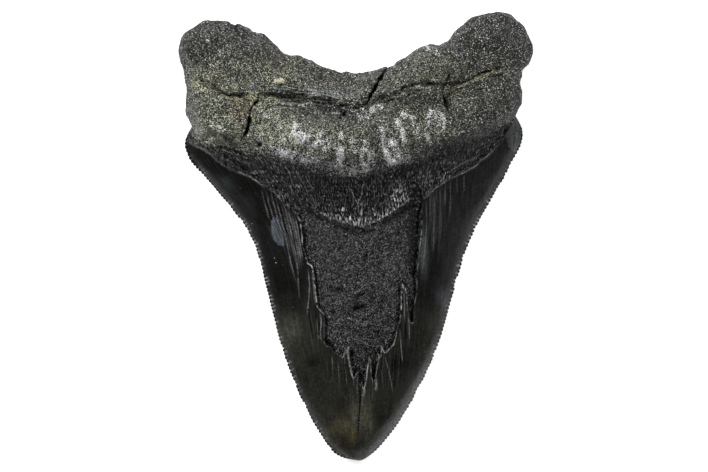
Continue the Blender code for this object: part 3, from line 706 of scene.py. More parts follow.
def shape_top(points):
    """Height, zones and paint of the lingual skin."""
    global SPOT_G, SPOT_H
    g, h = points.T
    SPOT_G, SPOT_H = g, h
    rim, rim_run = to_ring(points, outline)
    t = across(g, h)
    edge = edge_height(g, h)
    dome = np.interp(h, (100, 150, 200, 250, 300, 350, 400, 430, 450, 461),
                     (15.5, 13.6, 11.4, 9.8, 8.6, 7.2, 5.4, 3.8, 2.1, 0.4))
    crown = edge + dome * np.maximum(1.0 - t * t, 0.0) ** 0.92 * (1.0 - np.exp(-rim / 0.9))
    boss = np.exp(-(((g - 352.0) / 86.0) ** 2) - ((h - 139.0) / 44.0) ** 2)
    lobes = 13.2 + 9.0 * boss + 1.2 * np.sin(g / 23.0) * np.sin(h / 17.0)
    lobes = lobes + 0.9 * cloudy(g / 38.0, h / 30.0, 91, 2) - 2.2 * spot(350, 112, 62, 15)
    lobes = lobes - 1.1 * spot(265, 104, 34, 12) - 1.0 * spot(445, 94, 30, 13)
    k = np.clip(rim / 30.0, 0.0, 1.0)
    root = edge + (lobes - edge) * np.sqrt(1.0 - (1.0 - k) ** 2)

    foot = at(ROOT_FOOT, g) + 2.2 * cloudy(g / 9.0, h / 9.0, 31)
    west = 1.0 - smooth(228.0, 292.0, g)
    is_root = 1.0 - smooth(foot - 5.0 - 2.0 * west, foot + 5.0 + 10.0 * west, h)
    z = crown + (root - crown) * (1.0 - smooth(foot - 11.0, foot + 5.0, h))

    bare_gap, bare_run, _ = measure(points, bare_ring, closed=True, reach=14.0)
    is_bare = inside(points, bare_ring)
    bare_gap = np.where(is_bare, bare_gap, -bare_gap)
    below = h - at(BOUR_FOOT, g)
    is_bour = (1.0 - is_root) * (1.0 - smooth(-0.8, 0.8, below)) * (~is_bare)
    is_root = is_root * (1.0 - smooth(-0.8, 0.8, below))
    bour_gap = -below
    zone = {"root": is_root, "bare": is_bare.astype(float), "bour": is_bour.astype(float)}

    # bourlette: a little lower than the enamel, whose thin edge stands up along it
    keep = smooth(0.0, 10.0, rim)
    z -= 0.45 * is_bour * smooth(0.0, 2.2, bour_gap) * keep * (0.55 + 0.45 * smooth(236, 262, g))
    # bare dentine
    lip = smooth(-0.3, 0.8, bare_gap) * (bare_gap > -2)
    deep = 0.75 + 0.3 * cloudy(g / 40.0, h / 60.0, 77)
    z -= deep * lip * smooth(-4.0, 10.0, h - at(((298, 206), (348, 222), (402, 204)), g))
    side_moat = np.exp(-((bare_gap - 1.5) / 1.3) ** 2) * is_bare * smooth(214.0, 236.0, h)
    z -= 0.35 * side_moat
    under_lip = np.clip(0.75 + 0.8 * grain(bare_run / 8.0, bare_run * 0.0 + 0.6, 46), 0.25, 1.0)
    # how strongly the pale broken edge and its painted highlight show, place by place
    bright = 0.12 + 0.80 * spot(311, 285, 12, 42, 2.0) + 0.55 * spot(346, 362, 6, 22, 1.5) \
        + 0.55 * spot(369, 370, 4, 18, 1.5) + 0.6 * spot(404, 300, 5, 26, 2.0) \
        + 0.35 * spot(420, 236, 6, 36, 2.0) + 0.7 * spot(301, 232, 5, 22, 2.0) \
        + 0.35 * spot(389, 347, 12, 8, 1.5)
    bright = bright * (1.0 - 0.85 * spot(334, 351, 9.5, 8, 2.0))
    patchy = np.clip(0.52 + 1.15 * grain(bare_run / 5.0, bare_run * 0.0 + 0.3, 45), 0.0, 1.3)
    zone["lip"] = bright * patchy * (bare_gap > -6.0) * smooth(210.0, 220.0, h)
    arc = at(((298, 206), (315, 211), (340, 222.5), (361, 228), (388, 215.4), (402, 206), (414, 200)), g)
    # mask of the painted shadow in the strip just below the enamel's broken edge
    zone["shade_below_lip"] = under_lip * smooth(208.0, 222.0, h) * (bare_gap > -4.0) * smooth(2.0, 14.0, h - arc)

    # furrow across the root: an overhanging upper lip and, in the middle, thin layers
    far, frun, fside = measure(points, furrow, reach=16.0)
    lower = np.where(h > at(FURROW, g), 1.0, -1.0)
    sd = far * lower                      # positive below the line
    total = furrow_len
    part = frun / total
    mid = smooth(0.20, 0.30, part) * (1.0 - smooth(0.53, 0.62, part))
    strength = smooth(0.0, 0.08, part) * (1.0 - 0.75 * smooth(0.78, 0.97, part))
    wide = 2.1 + 5.2 * mid
    cut = np.where(sd < 0, smooth(-2.2 - 3.0 * mid, 0.8, sd), 1.0 - smooth(0.6, 2.0 + 1.9 * wide, sd)) * (far < 15.5)
    z -= (0.60 + 0.95 * mid) * cut * strength * smooth(0.0, 9.0, rim)
    layers = np.sin(sd * 2.45 + 1.3 * np.sin(frun / 13.0)) * mid * cut
    z += 0.16 * layers
    fine_cut = np.exp(-((sd - 0.3) / (1.2 + 1.2 * mid)) ** 2)
    # mask of the painted shadow in the furrow
    zone["furrow"] = strength * (0.25 * fine_cut + 0.60 * mid * cut)
    zone["layers"] = mid * cut
    zone["strata"] = np.clip(strength * (0.25 + 0.75 * mid) * (1.0 - smooth(8.0, 14.5, far)), 0.0, 1.0)
    zone["sd"], zone["frun"] = np.clip(sd, -20, 20), frun
    ridge = np.exp(-((sd - 4.2) / 2.0) ** 2) * (1.0 - mid) * strength * (far < 15.5)
    z += 0.22 * ridge
    tan = np.zeros(len(points))
    for line, w, much in TANS:
        gap, _, _ = measure(points, curve(line, 1.5), reach=4.0 * w)
        q = np.exp(-(gap / w) ** 2)
        z += 0.25 * much * q
        tan = np.maximum(tan, much * q)
    zone["tan"] = tan

    # cracks and pits
    dark = np.zeros(len(points))
    for (line, w, d) in CRACKS:
        c = curve(line, 1.0)
        gap, crun, _ = measure(points, c, reach=8.0)
        size = np.hypot(*np.diff(c, axis=0).T).sum()
        taper = np.minimum(1.0, 0.35 + 3.0 * np.minimum(crun, size - crun) / size)
        wob = 1.0 + 0.45 * grain(crun / 5.0, crun * 0 + w, 9) + 0.3 * grain(crun / 1.9, crun * 0 + w, 10)
        ragged_gap = gap + 0.45 * cloudy(g / 2.6, h / 2.6, 64, 2)
        v = np.clip(1.0 - ragged_gap / (w * taper * wob * 1.2), 0.0, 1.0)
        dots = 0.35 + 0.65 * smooth(-0.35, 0.25, np.sin(crun * 2.1) + 0.5 * grain(crun / 3.0, crun * 0 + 3.0, 12)) if w < 1.05 and d > 0.65 else 1.0
        z -= d * taper * v ** 0.8 * dots
        seen = np.clip(0.75 + 0.8 * grain(crun / 6.0, crun * 0 + w, 13), 0.35, 1.0) if d < 1.0 else 1.0
        dark = np.maximum(dark, np.clip(v * 1.8, 0, 1) * min(1.0, 0.15 + 0.7 * d) * dots * seen)
    for gc, hc, r, d in PITS:
        q = np.exp(-(((g - gc) ** 2 + (h - hc) ** 2) / r ** 2) ** 1.3)
        z -= d * q
        if d > 0.9:
            dark = np.maximum(dark, q * 0.95)
    zone["dark"] = dark

    # patches stand a little proud; the patches of painted shade lie a little deeper, as hollows
    glow = np.zeros(len(points))
    shade = np.zeros(len(points))
    for gc, hc, rg, rh, much in GLOW:
        q = spot(gc, hc, rg, rh, 1.0)
        z += 0.55 * much * q * (min(rg, rh) > 3.5)
        glow = np.maximum(glow, much * q)
    for gc, hc, rg, rh, much in SHADE:
        q = spot(gc, hc, rg, rh, 1.0)
        z -= 0.7 * much * q * (min(rg, rh) > 3.5) * smooth(0.0, 12.0, rim)
        shade = 1.0 - (1.0 - shade) * (1.0 - much * q)
    # the bourlette's middle is darker: dark material, and painted shade where it turns down
    tone = 1.0 - 0.52 * spot(344, 190, 42, 15, 1.5) * is_bour
    for gc, hc, rg, rh, turn, dz, much in DENTINE:
        q = spot(gc, hc, rg, rh, 1.2, turn) * is_bare
        z += 1.5 * dz * q
        tone *= 1.0 + (much ** 1.7 - 1.0) * q * np.clip(1.0 + 0.9 * cloudy(g / 3.0, h / 3.0, 67, 2), 0.3, 1.3)
    for line, w, d, much in BANDS:
        gap, brun, _ = measure(points, curve(line, 1.5), reach=4.0 * w + 3.0)
        gap = gap * (1.0 + 0.3 * cloudy(g / 4.0, h / 4.0, 66, 2))
        q = np.exp(-(gap / w) ** 2)
        z -= d * q * smooth(0.0, 6.0, rim)
        tone *= 1.0 + (much - 1.0) * q
    for line, w, much in (((((298, 205), (309, 211.4), (320, 218.6), (332, 225.4), (344, 230.6), (356, 234)), 2.4, 1.2),
                           (((411, 190), (414.4, 198), (413.4, 209), (413.6, 220), (414, 236), (413.6, 250), (413, 262), (412.6, 274)), 4.6, 1.35),
                           (((401, 210), (407, 207), (413, 206)), 3.6, 1.3), (((388, 219), (396, 216), (404, 212)), 1.3, 0.6),
                          (((222, 147.6), (230, 150.2), (238, 153), (246, 156.6)), 1.9, 1.0),
                          (((225, 157), (233, 160.6), (241, 165.6), (250, 172)), 2.9, 0.95),
                          (((215, 135), (224, 136.4), (232, 140), (239, 147)), 2.8, 0.72),
                           (((367, 226), (375, 226.6), (384, 222)), 1.2, 0.5))):
        gap, brun, _ = measure(points, curve(line, 1.5), reach=4.0 * w + 3.0)
        gap = gap * (1.0 + 0.9 * cloudy(g / 3.2, h / 3.2, 68, 2))
        torn = np.clip(0.62 + 1.15 * cloudy(g / 2.2, h / 4.0, 69, 2), 0.0, 1.15)
        dark = np.maximum(dark, 0.80 * much * torn * np.exp(-(gap / w) ** 2))
        z -= 0.3 * much * torn * np.exp(-(gap / w) ** 2)
    zone["dark"] = dark
    zone["tone"] = tone
    pale = np.zeros(len(points))
    for gc, hc, rg, rh, much in PALE:
        pale = np.maximum(pale, much * (2.0 if rg > 3.0 else 1.0) * np.clip(1.5 - np.hypot((g - gc) / rg, (h - hc) / rh), 0.0, 1.0))
    zone["pale"] = pale
    zone["glow"] = glow
    zone["shade"] = shade

    # knobs along the bulge: polished, with masks for their painted highlights and the painted highlight halo round them
    shine = np.zeros(len(points))
    knob_highlight = np.zeros(len(points))
    highlight_halo = np.zeros(len(points))
    for (line, w, hgt, polish_and_highlight) in KNOBS:
        c = curve(line, 1.0) if len(line) > 2 else np.array(line, float)
        gap, _, _ = measure(points, c, reach=10.0)
        b = np.exp(-(gap / w) ** 2)
        z += hgt * b
        shine = np.maximum(shine, polish_and_highlight * (0.80 * np.exp(-(gap / w) ** 2) + 0.20 * np.exp(-(gap / (2.2 * w)) ** 2)))
        knob_highlight = np.maximum(knob_highlight, min(polish_and_highlight, 1.1) * (0.55 if w < 1.35 else 1.0) * np.exp(-(gap / (1.1 * w)) ** 2))
        highlight_halo = np.maximum(highlight_halo, min(polish_and_highlight, 1.1) * (w > 1.35) * np.exp(-(gap / (2.3 * w)) ** 2))
    zone["shine"] = shine
    zone["knob_highlight"] = knob_highlight
    zone["highlight_halo"] = highlight_halo

    # raised lines in the enamel
    light = np.zeros(len(points))
    line_gap = np.full(len(points), 9.0)
    for i, (line, w, hgt, li) in enumerate(LINES + MARKS):
        free = i >= len(LINES)
        c = drawn(line, i)
        gap, lrun, _ = measure(points, c, reach=4.0)
        size = np.hypot(*np.diff(c, axis=0).T).sum()
        taper = np.clip(5.0 * np.minimum(lrun + 1.0, size - lrun) / size, 0.0, 1.0)
        broken = 0.75 + 0.5 * grain(lrun / 9.0, lrun * 0 + line[0][0], 4)
        b = np.exp(-(gap / w) ** 2) * taper
        z += hgt * b * ((1 - is_bare) if not free else 1.0)
        nearer = (gap / w < line_gap) & (~is_bare | free)
        line_gap = np.where(nearer, gap / w, line_gap)
        light = np.where(nearer, li * taper * np.clip(broken, 0.2, 1.0), light)
    zone["line"] = light
    zone["line_gap"] = line_gap

    # serrations carry on a little way in from the edge
    blade = smooth(n_root_run - 1.0, n_root_run + 12.0, rim_run)
    ser = np.interp(rim_run, run_out, tooth_out)
    wave = np.abs(np.sin(math.pi * ser)) ** 0.75
    near = blade * np.clip(1.0 - rim / 6.5, 0.0, 1.0)
    z += 0.10 * (wave - 0.6) * near * smooth(0.0, 1.0, rim)
    stretch_of_edge = np.where(g > 352, smooth(180, 200, h) * (1.0 - 0.7 * smooth(288, 300, h)),
                               smooth(192, 215, h) * (1.0 - 0.75 * smooth(310, 345, h)))
    zone["saw"] = blade * (0.30 + 0.70 * stretch_of_edge) * (rim < 9.0)
    zone["ser"] = ser
    zone["rim"] = rim
    zone["blade"] = blade
    zone["t"] = t
    zone["bour_gap"] = bour_gap
    zone["foot_gap"] = foot - h
    zone["bare_gap"] = bare_gap
    return z, zone


def shape_under(points):
    g, h = points.T
    rim, rim_run = to_ring(points, outline)
    t = across(g, h)
    edge = edge_height(g, h)
    belly = np.interp(h, (100, 150, 250, 330, 370, 410, 440, 461),
                      (1.0, 1.5, 2.3, 3.3, 3.3, 2.7, 1.5, 0.2))
    blade = edge - belly * (1.0 - t * t) ** 0.8
    floor = 2.3 + 0.0 * g
    for gc, hc, rg, rh in ((224.0, 64.0, 34.0, 32.0), (481.0, 60.0, 36.0, 34.0)):
        floor = floor - 3.6 * np.exp(-(((g - gc) / rg) ** 2) - ((h - hc) / rh) ** 2)
    k = np.clip(rim / 25.5, 0.0, 1.0)
    root = edge - (edge - floor) * np.sqrt(1.0 - (1.0 - k) ** 2)
    foot = 132.0 + 34.0 * np.exp(-(((g - 352.0) / 95.0) ** 2)) + 1.5 * cloudy(g / 9.0, h / 9.0, 51)
    z = root + (blade - root) * smooth(foot - 22.0, foot + 10.0, h)
    is_root = 1.0 - smooth(foot - 1.5, foot + 1.5, h)
    z += 0.35 * is_root * smooth(0.0, 8.0, rim)
    # long shallow folds and a few cracks in the labial enamel
    z -= 0.10 * np.cos(t * 13.0 + 1.5 * grain(g / 60.0, h / 140.0, 8)) * (1 - is_root) * smooth(0.0, 14.0, rim)
    blade_w = smooth(n_root_run - 1.0, n_root_run + 12.0, rim_run)
    ser = np.interp(rim_run, run_out, tooth_out)
    wave = np.abs(np.sin(math.pi * ser)) ** 0.75
    near = blade_w * np.clip(1.0 - rim / 5.0, 0.0, 1.0)
    zero = np.zeros(len(points))
    zone = {k: zero for k in ("bare", "bour", "lip", "shade_below_lip", "furrow", "layers", "tan", "dark",
                              "shine", "knob_highlight", "highlight_halo", "line", "glow", "shade", "pale")}
    zone["tone"] = zero + 1.0
    zone["line_gap"] = zero + 9.0
    zone.update(strata=zero, sd=zero, frun=zero)
    zone.update(root=is_root, saw=0.6 * blade_w * (rim < 9.0), ser=ser, rim=rim, blade=blade_w,
                t=t, bour_gap=zero - 50, foot_gap=foot - h, bare_gap=zero - 50)
    return z, zone


furrow_len = np.hypot(*np.diff(furrow, axis=0).T).sum()
closed_out = np.vstack([outline, outline[:1]])
run_out = np.concatenate([[0.0], np.cumsum(np.hypot(*np.diff(closed_out, axis=0).T))])
n_root_run = run_out[n_root]
tooth_out = np.concatenate([np.zeros(n_root), tooth_no[:-1], tooth_no[-1:]])
tooth_out = tooth_out[: len(run_out)]

top_z, top_zone = shape_top(top_points)
under_z, under_zone = shape_under(under_points)
n = len(outline)
top_z[:n] = edge_height(*top_points[:n].T)
places = np.vstack([top_points, under_points[n:]])
heights = np.concatenate([top_z, under_z[n:]])
zones = {k: np.concatenate([top_zone[k], under_zone[k][n:]]) for k in top_zone}
is_top = np.concatenate([np.ones(len(top_points)), np.zeros(len(under_points) - n)])
faces = [tuple(f) for f in top_faces]
link = np.concatenate([np.arange(n), np.arange(n, len(under_points)) + len(top_points) - n])
faces += [tuple(link[list(f)])[::-1] for f in under_faces]

co = np.stack([(places[:, 0] - G0) * GRID, (H0 - places[:, 1]) * GRID, heights * MM], 1)
mesh = bpy.data.meshes.new("tooth_surface")
mesh.from_pydata([tuple(c) for c in co], [], faces)
bm = bmesh.new()
bm.from_mesh(mesh)
bmesh.ops.recalc_face_normals(bm, faces=bm.faces)
bm.normal_update()
bm.to_mesh(mesh)
bm.free()

# ------------------------------------------------------------------ weathered relief
normals = np.empty(len(co) * 3)
mesh.vertices.foreach_get("normal", normals)
normals = normals.reshape(-1, 3)
mm_co = co / MM
g, h = places.T
SPOT_G, SPOT_H = g, h
r, b, bo = zones["root"], zones["bare"], zones["bour"]
en = np.clip(1.0 - r - b - bo, 0.0, 1.0)


def knead(size, seed, octaves=3):
    out = np.empty(len(mm_co))
    shift = Vector((seed * 7.3, seed * 3.1, seed * 5.7))
    for i, c in enumerate(mm_co):
        out[i] = noise.fractal(Vector(c) / size + shift, 0.9, 2.1, octaves)
    return out


broad = knead(6.0, 1)
small = knead(1.7, 2)
fine = knead(0.75, 3, 2)
push = r * (0.46 * broad + 0.20 * small + 0.09 * fine)
push += b * (0.15 * broad + 0.17 * small + 0.12 * fine)
lumpy = b * spot(366, 330, 34, 24, 1.5)
push += lumpy * (0.22 * broad + 0.26 * small)
fibre = grain(g / 2.1 + 1.5 * grain(g / 30.0, h / 40.0, 2), h / 17.0, 6)
push += bo * (0.05 * broad + 0.07 * small + 0.13 * fibre + 0.03 * fine)
push += en * (0.035 * broad)
push *= smooth(0.0, 1.0, zones["rim"]) * (1 - zones["blade"]) + zones["blade"] * smooth(0.0, 8.0, zones["rim"]) + r * (1 - zones["blade"]) * 0.6
co += normals * (push * MM)[:, None]
co[:, 2] = np.maximum(co[:, 2], 0.0)
lo = np.array(cad_box[0]) - (0.0015, 0.0015, 0.0)
hi = np.array(cad_box[1]) + (0.0015, 0.0015, 0.0005)
co = np.clip(co, lo, hi)
mesh.vertices.foreach_set("co", co.ravel())
mesh.update()
mesh.shade_smooth()
ring_next = {}
for i in range(n):
    if i >= n_root + 3 and i < n - 3:
        ring_next[(i, (i + 1) % n)] = True
for e in mesh.edges:
    a, c = sorted(e.vertices)
    if (a, c) in ring_next:
        e.use_edge_sharp = True


# ------------------------------------------------------------------ painted fields
top = is_top
tint = np.zeros((len(co), 3))
ROOT_C = np.array((0.0700, 0.0738, 0.0500))
BARE_C = np.array((0.0300, 0.0300, 0.0294))
ENAM_C = np.array((0.0046, 0.0046, 0.0042))
rooty = np.clip((r > 0.0) + (zones["foot_gap"] > -9.0) * (1 - b) * (bo > 0), 0.0, 1.0)
tint += rooty[:, None] * ROOT_C + (1 - rooty)[:, None] * (b[:, None] * BARE_C + (1 - b)[:, None] * ENAM_C)


def dab(weight, colour):
    global tint
    weight = np.clip(weight, 0.0, 1.0)[:, None]
    tint = tint * (1.0 - weight) + np.array(colour) * weight


def scale(weight, factor):
    global tint
    tint = tint * (1.0 + np.clip(weight, 0.0, 1.0) * (factor - 1.0))[:, None]


cloud = cloudy(g / 46.0, h / 46.0, 61)
tint *= (1.0 + 0.22 * cloud * rooty)[:, None]
# the root: its right lobe is darker, its upper edge a little darker; along its rounded rim the darkening is painted
# shade
scale(rooty * top * smooth(415, 480, g), 0.52)
scale(rooty * top * smooth(430, 470, g) * (1 - smooth(40, 75, h)), 0.30)
scale(rooty * top * spot(446, 150, 24, 13, 1.5), 0.35)
scale(rooty * top * smooth(430, 465, g) * smooth(84, 100, h), 0.88)
scale(rooty * top * (1 - smooth(4.0, 22.0, zones["rim"])) * (h < 120), 0.66)
scale(rooty * top * (1 - smooth(2.0, 11.0, zones["rim"])) * (g < 300) * (h > 90), 0.55)
scale(rooty * top * (1 - smooth(0.5, 6.5, zones["rim"])), 0.45)
warm = np.clip(0.5 + 0.9 * cloudy(g / 14.0, h / 14.0, 12), 0.0, 1.0)
dab(0.42 * rooty * top * smooth(0.62, 1.0, warm), (0.105, 0.092, 0.055))
dab(0.35 * rooty * top * (1 - smooth(0.0, 0.35, warm)), (0.075, 0.084, 0.092))
dab(0.5 * rooty * top * spot(281, 58, 13, 9) * (0.5 + 0.5 * cloudy(g / 3, h / 3, 12)), (0.17, 0.135, 0.06))
dab(0.5 * top * spot(240, 114, 6, 7) * rooty, (0.13, 0.085, 0.05))
dab(0.80 * top * zones["tan"], (0.175, 0.160, 0.088))
dab(0.4 * rooty * top * spot(223, 84, 34, 15) * smooth(0.35, 0.8, warm), (0.125, 0.118, 0.058))
dab(0.3 * top * spot(279, 89, 8, 3), (0.045, 0.062, 0.10))
dab(0.35 * rooty * top * spot(252, 88, 6, 4), (0.06, 0.075, 0.11))
dab(0.35 * rooty * top * spot(200, 118, 12, 10) * smooth(0.4, 0.9, warm), (0.07, 0.095, 0.075))
for gc, hc, rg, rh, _ in PALE:
    if rg > 3.0:
        dab(top * spot(gc, hc, 1.25 * rg + 0.9, 1.25 * rh + 0.9, 3.0), (0.42, 0.405, 0.265))
# painted shade patches darken the root's paint
scale(top * zones["shade"] * rooty, 0.30)
# painted shade in the hollow band under the furrow's middle, round the hilum
scale(rooty * top * spot(333, 112, 46, 9, 1.5), 0.10)
scale(rooty * top * spot(420, 104, 30, 10, 1.5), 0.66)
scale(rooty * top * (1 - smooth(42, 78, h)) * (g < 330), 0.30)
scale(rooty * top * spot(318, 78, 40, 15, 1.5), 0.68)
scale(rooty * top * smooth(60, 80, h) * (1 - smooth(290, 330, g)), 1.50)
west = 1 - smooth(236, 290, g)
scale(rooty * top * (1 - r) * (1 - 0.9 * west), 0.45)
# painted highlight halo: the tint is lightened round the knobs
scale(rooty * top * zones["highlight_halo"], 1.65)
dab(0.6 * rooty * top * spot(328, 94, 33, 6.5, 1.6), (0.094, 0.102, 0.106))
# painted shadow in the furrow under its overhanging upper lip, lighter over the thin layers
dab(0.78 * top * zones["furrow"] * (1 - 0.45 * zones["layers"]), (0.022, 0.022, 0.019))
# enamel patches
blue = inside(places, np.array(((271.6, 220), (274, 217), (277.4, 219), (279.6, 226), (282, 235), (284.4, 242), (283.6, 246),
                                (279, 245), (275, 241), (272.6, 236), (271.2, 228))))
dab(0.95 * top * en * blue * (0.85 + 0.3 * cloudy(g / 4, h / 6, 14)), (0.092, 0.108, 0.132))
tint += (top * en * smooth(285, 325, h) * (0.85 + 0.5 * cloudy(g / 16, h / 16, 38)))[:, None] * np.array((0.0104, 0.0103, 0.0078))
dab(0.8 * top * en * spot(291, 331, 12, 15, 1.3) * (0.75 + 0.7 * cloudy(g / 7, h / 7, 15)), (0.058, 0.058, 0.044))
dab(0.5 * top * en * spot(304, 356, 16, 16, 1.0) * (0.75 + 0.7 * cloudy(g / 7, h / 7, 35)), (0.026, 0.026, 0.018))
dab(0.85 * top * en * spot(423.5, 252, 5, 22, 1.3), (0.066, 0.075, 0.073))
dab(0.8 * top * en * spot(444, 299, 7, 12, 1.2), (0.046, 0.046, 0.052))
dab(0.5 * top * en * spot(437, 315, 6, 6), (0.030, 0.030, 0.018))
dab(0.35 * top * en * spot(447, 250, 7, 26), (0.022, 0.023, 0.024))
dab(0.85 * top * en * spot(367, 420, 9, 19) * (0.75 + 0.8 * cloudy(g / 4, h / 7, 16)), (0.080, 0.078, 0.056))
dab(0.8 * top * en * spot(342, 430, 13, 17, 1.0, 0.3) * (0.7 + 0.7 * cloudy(g / 6, h / 9, 17)), (0.050, 0.044, 0.027))
dab(0.48 * top * en * spot(352.6, 434, 3.4, 8, 1.2), (0.108, 0.086, 0.030))
dab(0.7 * top * en * spot(355, 412, 2.8, 9, 1.3, 0.12), (0.105, 0.100, 0.074))
dab(0.65 * top * en * spot(366.6, 409, 5, 11, 1.3) * (0.8 + 0.8 * cloudy(g / 3, h / 6, 39)), (0.074, 0.070, 0.046))
dab(0.6 * top * en * spot(344, 424, 8, 5, 1.2, 0.2) * (0.8 + 0.9 * cloudy(g / 4, h / 4, 40)), (0.084, 0.072, 0.040))
dab(0.6 * top * en * spot(330, 430, 5, 4.6, 1.2, 0.6), (0.052, 0.040, 0.014))
scale(top * en * spot(379, 415, 8, 10, 1.3), 0.55)
scale(top * en * spot(336, 438, 5, 5, 1.2), 0.6)
dab(0.72 * top * en * spot(342, 443.5, 7, 6, 1.3, 0.5), (0.016, 0.012, 0.006))
dab(0.7 * top * en * spot(368, 449, 11, 5, 1.2, -0.5) * (0.6 + 1.2 * cloudy(g / 2.0, h / 2.0, 41, 2)), (0.058, 0.064, 0.060))
dab(0.7 * top * en * spot(353, 410, 5, 14), (0.055, 0.053, 0.040))
dab(0.5 * top * en * spot(366, 400, 9, 16), (0.030, 0.030, 0.024))
dab(0.35 * top * en * spot(330, 405, 16, 22) * (0.7 + 0.7 * cloudy(g / 8, h / 8, 36)), (0.026, 0.026, 0.018))
dab(0.35 * top * en * spot(392, 400, 14, 20) * (0.7 + 0.7 * cloudy(g / 8, h / 8, 37)), (0.022, 0.022, 0.016))
dab(0.8 * top * en * spot(225, 182, 7, 6, 1.0, 0.5) * (0.8 + 0.5 * cloudy(g / 5, h / 5, 18)), (0.020, 0.027, 0.027))
dab(0.5 * top * en * spot(248, 202, 8, 6, 1.0, 0.6) * (0.8 + 0.5 * cloudy(g / 5, h / 5, 19)), (0.018, 0.021, 0.020))
corner = inside(places, np.array(((503, 128), (508, 119), (512, 112), (518, 118), (524, 130), (524, 140), (515, 153), (509, 147))))
dab(0.9 * top * corner * (1 - r) * (0.75 + 0.5 * grain((g + 0.8 * h) / 1.7, (h - g) / 9.0, 23)), (0.062, 0.064, 0.068))
scale(top * en * spot(313, 361, 7, 6, 1.5), 0.35)
scale(top * en * spot(399, 362, 8, 7, 1.5), 0.35)
dab(0.55 * top * en * spot(435, 212, 9, 34, 1.5), (0.037, 0.038, 0.040))
dab(0.35 * top * en * spot(455, 195, 10, 18, 1.5), (0.018, 0.019, 0.019))
# painted sheen: a greyer band inside the lower cutting edges stands for the reflection along their bevels
edge_sheen = np.clip(1.0 - zones["rim"] / np.interp(h, (300, 350, 400, 430, 461), (3.0, 5.0, 10.0, 12.0, 9.0)), 0, 1) ** 0.7
dab(0.85 * top * en * edge_sheen * smooth(300, 380, h) * (g > 355), (0.108, 0.112, 0.109))
dab(0.75 * top * en * edge_sheen * smooth(385, 425, h) * (g <= 355), (0.040, 0.043, 0.037))
tint += (top * en * smooth(425, 470, g) * (1 - smooth(230, 290, h)))[:, None] * np.array((0.0052, 0.0052, 0.0051))
tint *= zones["tone"][:, None]
# lower skin: a calmer, slightly mottled enamel
dab((1 - top) * en * 0.5 * smooth(0.1, 0.6, cloudy(g / 24, h / 50, 22)), (0.026, 0.025, 0.019))

scale(rooty * top * np.exp(-((zones["foot_gap"] - 2) / 7.5) ** 2) * (1 - 0.9 * west), 0.55)
scale(rooty * top * west * smooth(108, 120, h), 1.22)
scale(rooty * top * spot(200, 140, 26, 12, 1.5), 1.4)
scale(rooty * top * spot(272, 132, 20, 20, 1.5), 1.25)
scale(rooty * top * np.exp(-((zones["foot_gap"] - 24) / 15.0) ** 2) * smooth(250, 275, g) * (1 - smooth(425, 452, g)), 1.12)
field_attr = mesh.color_attributes.new("tint", "FLOAT_COLOR", "POINT")
dull = rooty * np.maximum.reduce([0.62 * smooth(425, 465, g) * (1 - smooth(75, 110, h)), 0.25 * smooth(440, 465, g), 0.45 * spot(446, 150, 22, 11, 1.5), 0.25 * (1 - smooth(50, 80, h)),
                                  0.52 * spot(335, 110, 52, 10, 1.5), 0.2 * spot(335, 80, 60, 18, 1.5)])
rgba = np.concatenate([np.clip(tint, 0.0, 1.0), np.clip(zones["tone"] * (1 - dull), 0.0, 2.0)[:, None]], 1)
field_attr.data.foreach_set("color", rgba.ravel())
zone_attr = mesh.color_attributes.new("zone", "FLOAT_COLOR", "POINT")
rgba = np.stack([r, b, bo, zones["dark"]], 1)
zone_attr.data.foreach_set("color", rgba.ravel())

foot_row = at(((298, 211), (312, 215), (325, 218.5), (340, 221.5), (352, 223.5), (361, 224), (370, 223),
               (380, 219), (390, 213), (400, 205)), g)
ticks = np.zeros(len(co))
for gc, hc in ((336, 215), (340, 218.5), (347, 220), (354, 223.5), (359, 221.5), (366, 221.5), (370, 223.5),
               (379, 219.5), (383, 216.5), (387, 213), (392, 209), (398, 205.5), (350.5, 218), (375, 214),
               (330, 219), (404, 199), (395, 200), (343, 210), (362, 213)):
    ticks = np.maximum(ticks, spot(gc, hc, 1.4, 3.2))
flecks = top * np.maximum.reduce([
    (bo > 0.5) * (0.10 + 0.42 * np.exp(-((h - foot_row + 1.0) / 6.0) ** 2) * smooth(300, 335, g) * (1 - smooth(405, 425, g))),
    0.45 * b * np.exp(-((h - foot_row) / 4.0) ** 2) * smooth(333, 346, g) * (1 - smooth(392, 402, g)),
    1.3 * ticks, 0.6 * bo * spot(400, 196, 13, 15, 1.5), 0.45 * bo * spot(443, 178, 9, 9),
    0.5 * bo * spot(282, 197, 8, 8), 0.35 * bo * spot(424, 180, 16, 12), 0.3 * bo * spot(300, 186, 14, 12)])
bulge = rooty * smooth(0, 8, zones["foot_gap"]) * np.exp(-((zones["foot_gap"] - 20) / 17.0) ** 2)
bulge = bulge * smooth(252, 285, g) * (1 - smooth(440, 465, g))
fringe = rooty * np.exp(-((zones["foot_gap"] - 3) / 7.5) ** 2) * (0.35 + 0.65 * smooth(245, 285, g) * (1 - smooth(395, 425, g)))
fringe *= 0.36 + 1.35 * np.maximum.reduce([spot(287, 154, 9, 7), spot(318, 158, 8, 6), spot(331, 161, 6, 9), spot(341, 167, 4, 7),
                                          spot(365, 167, 6, 7), spot(400, 157, 12, 5), spot(304, 160, 6, 4), spot(352, 171, 10, 4)])
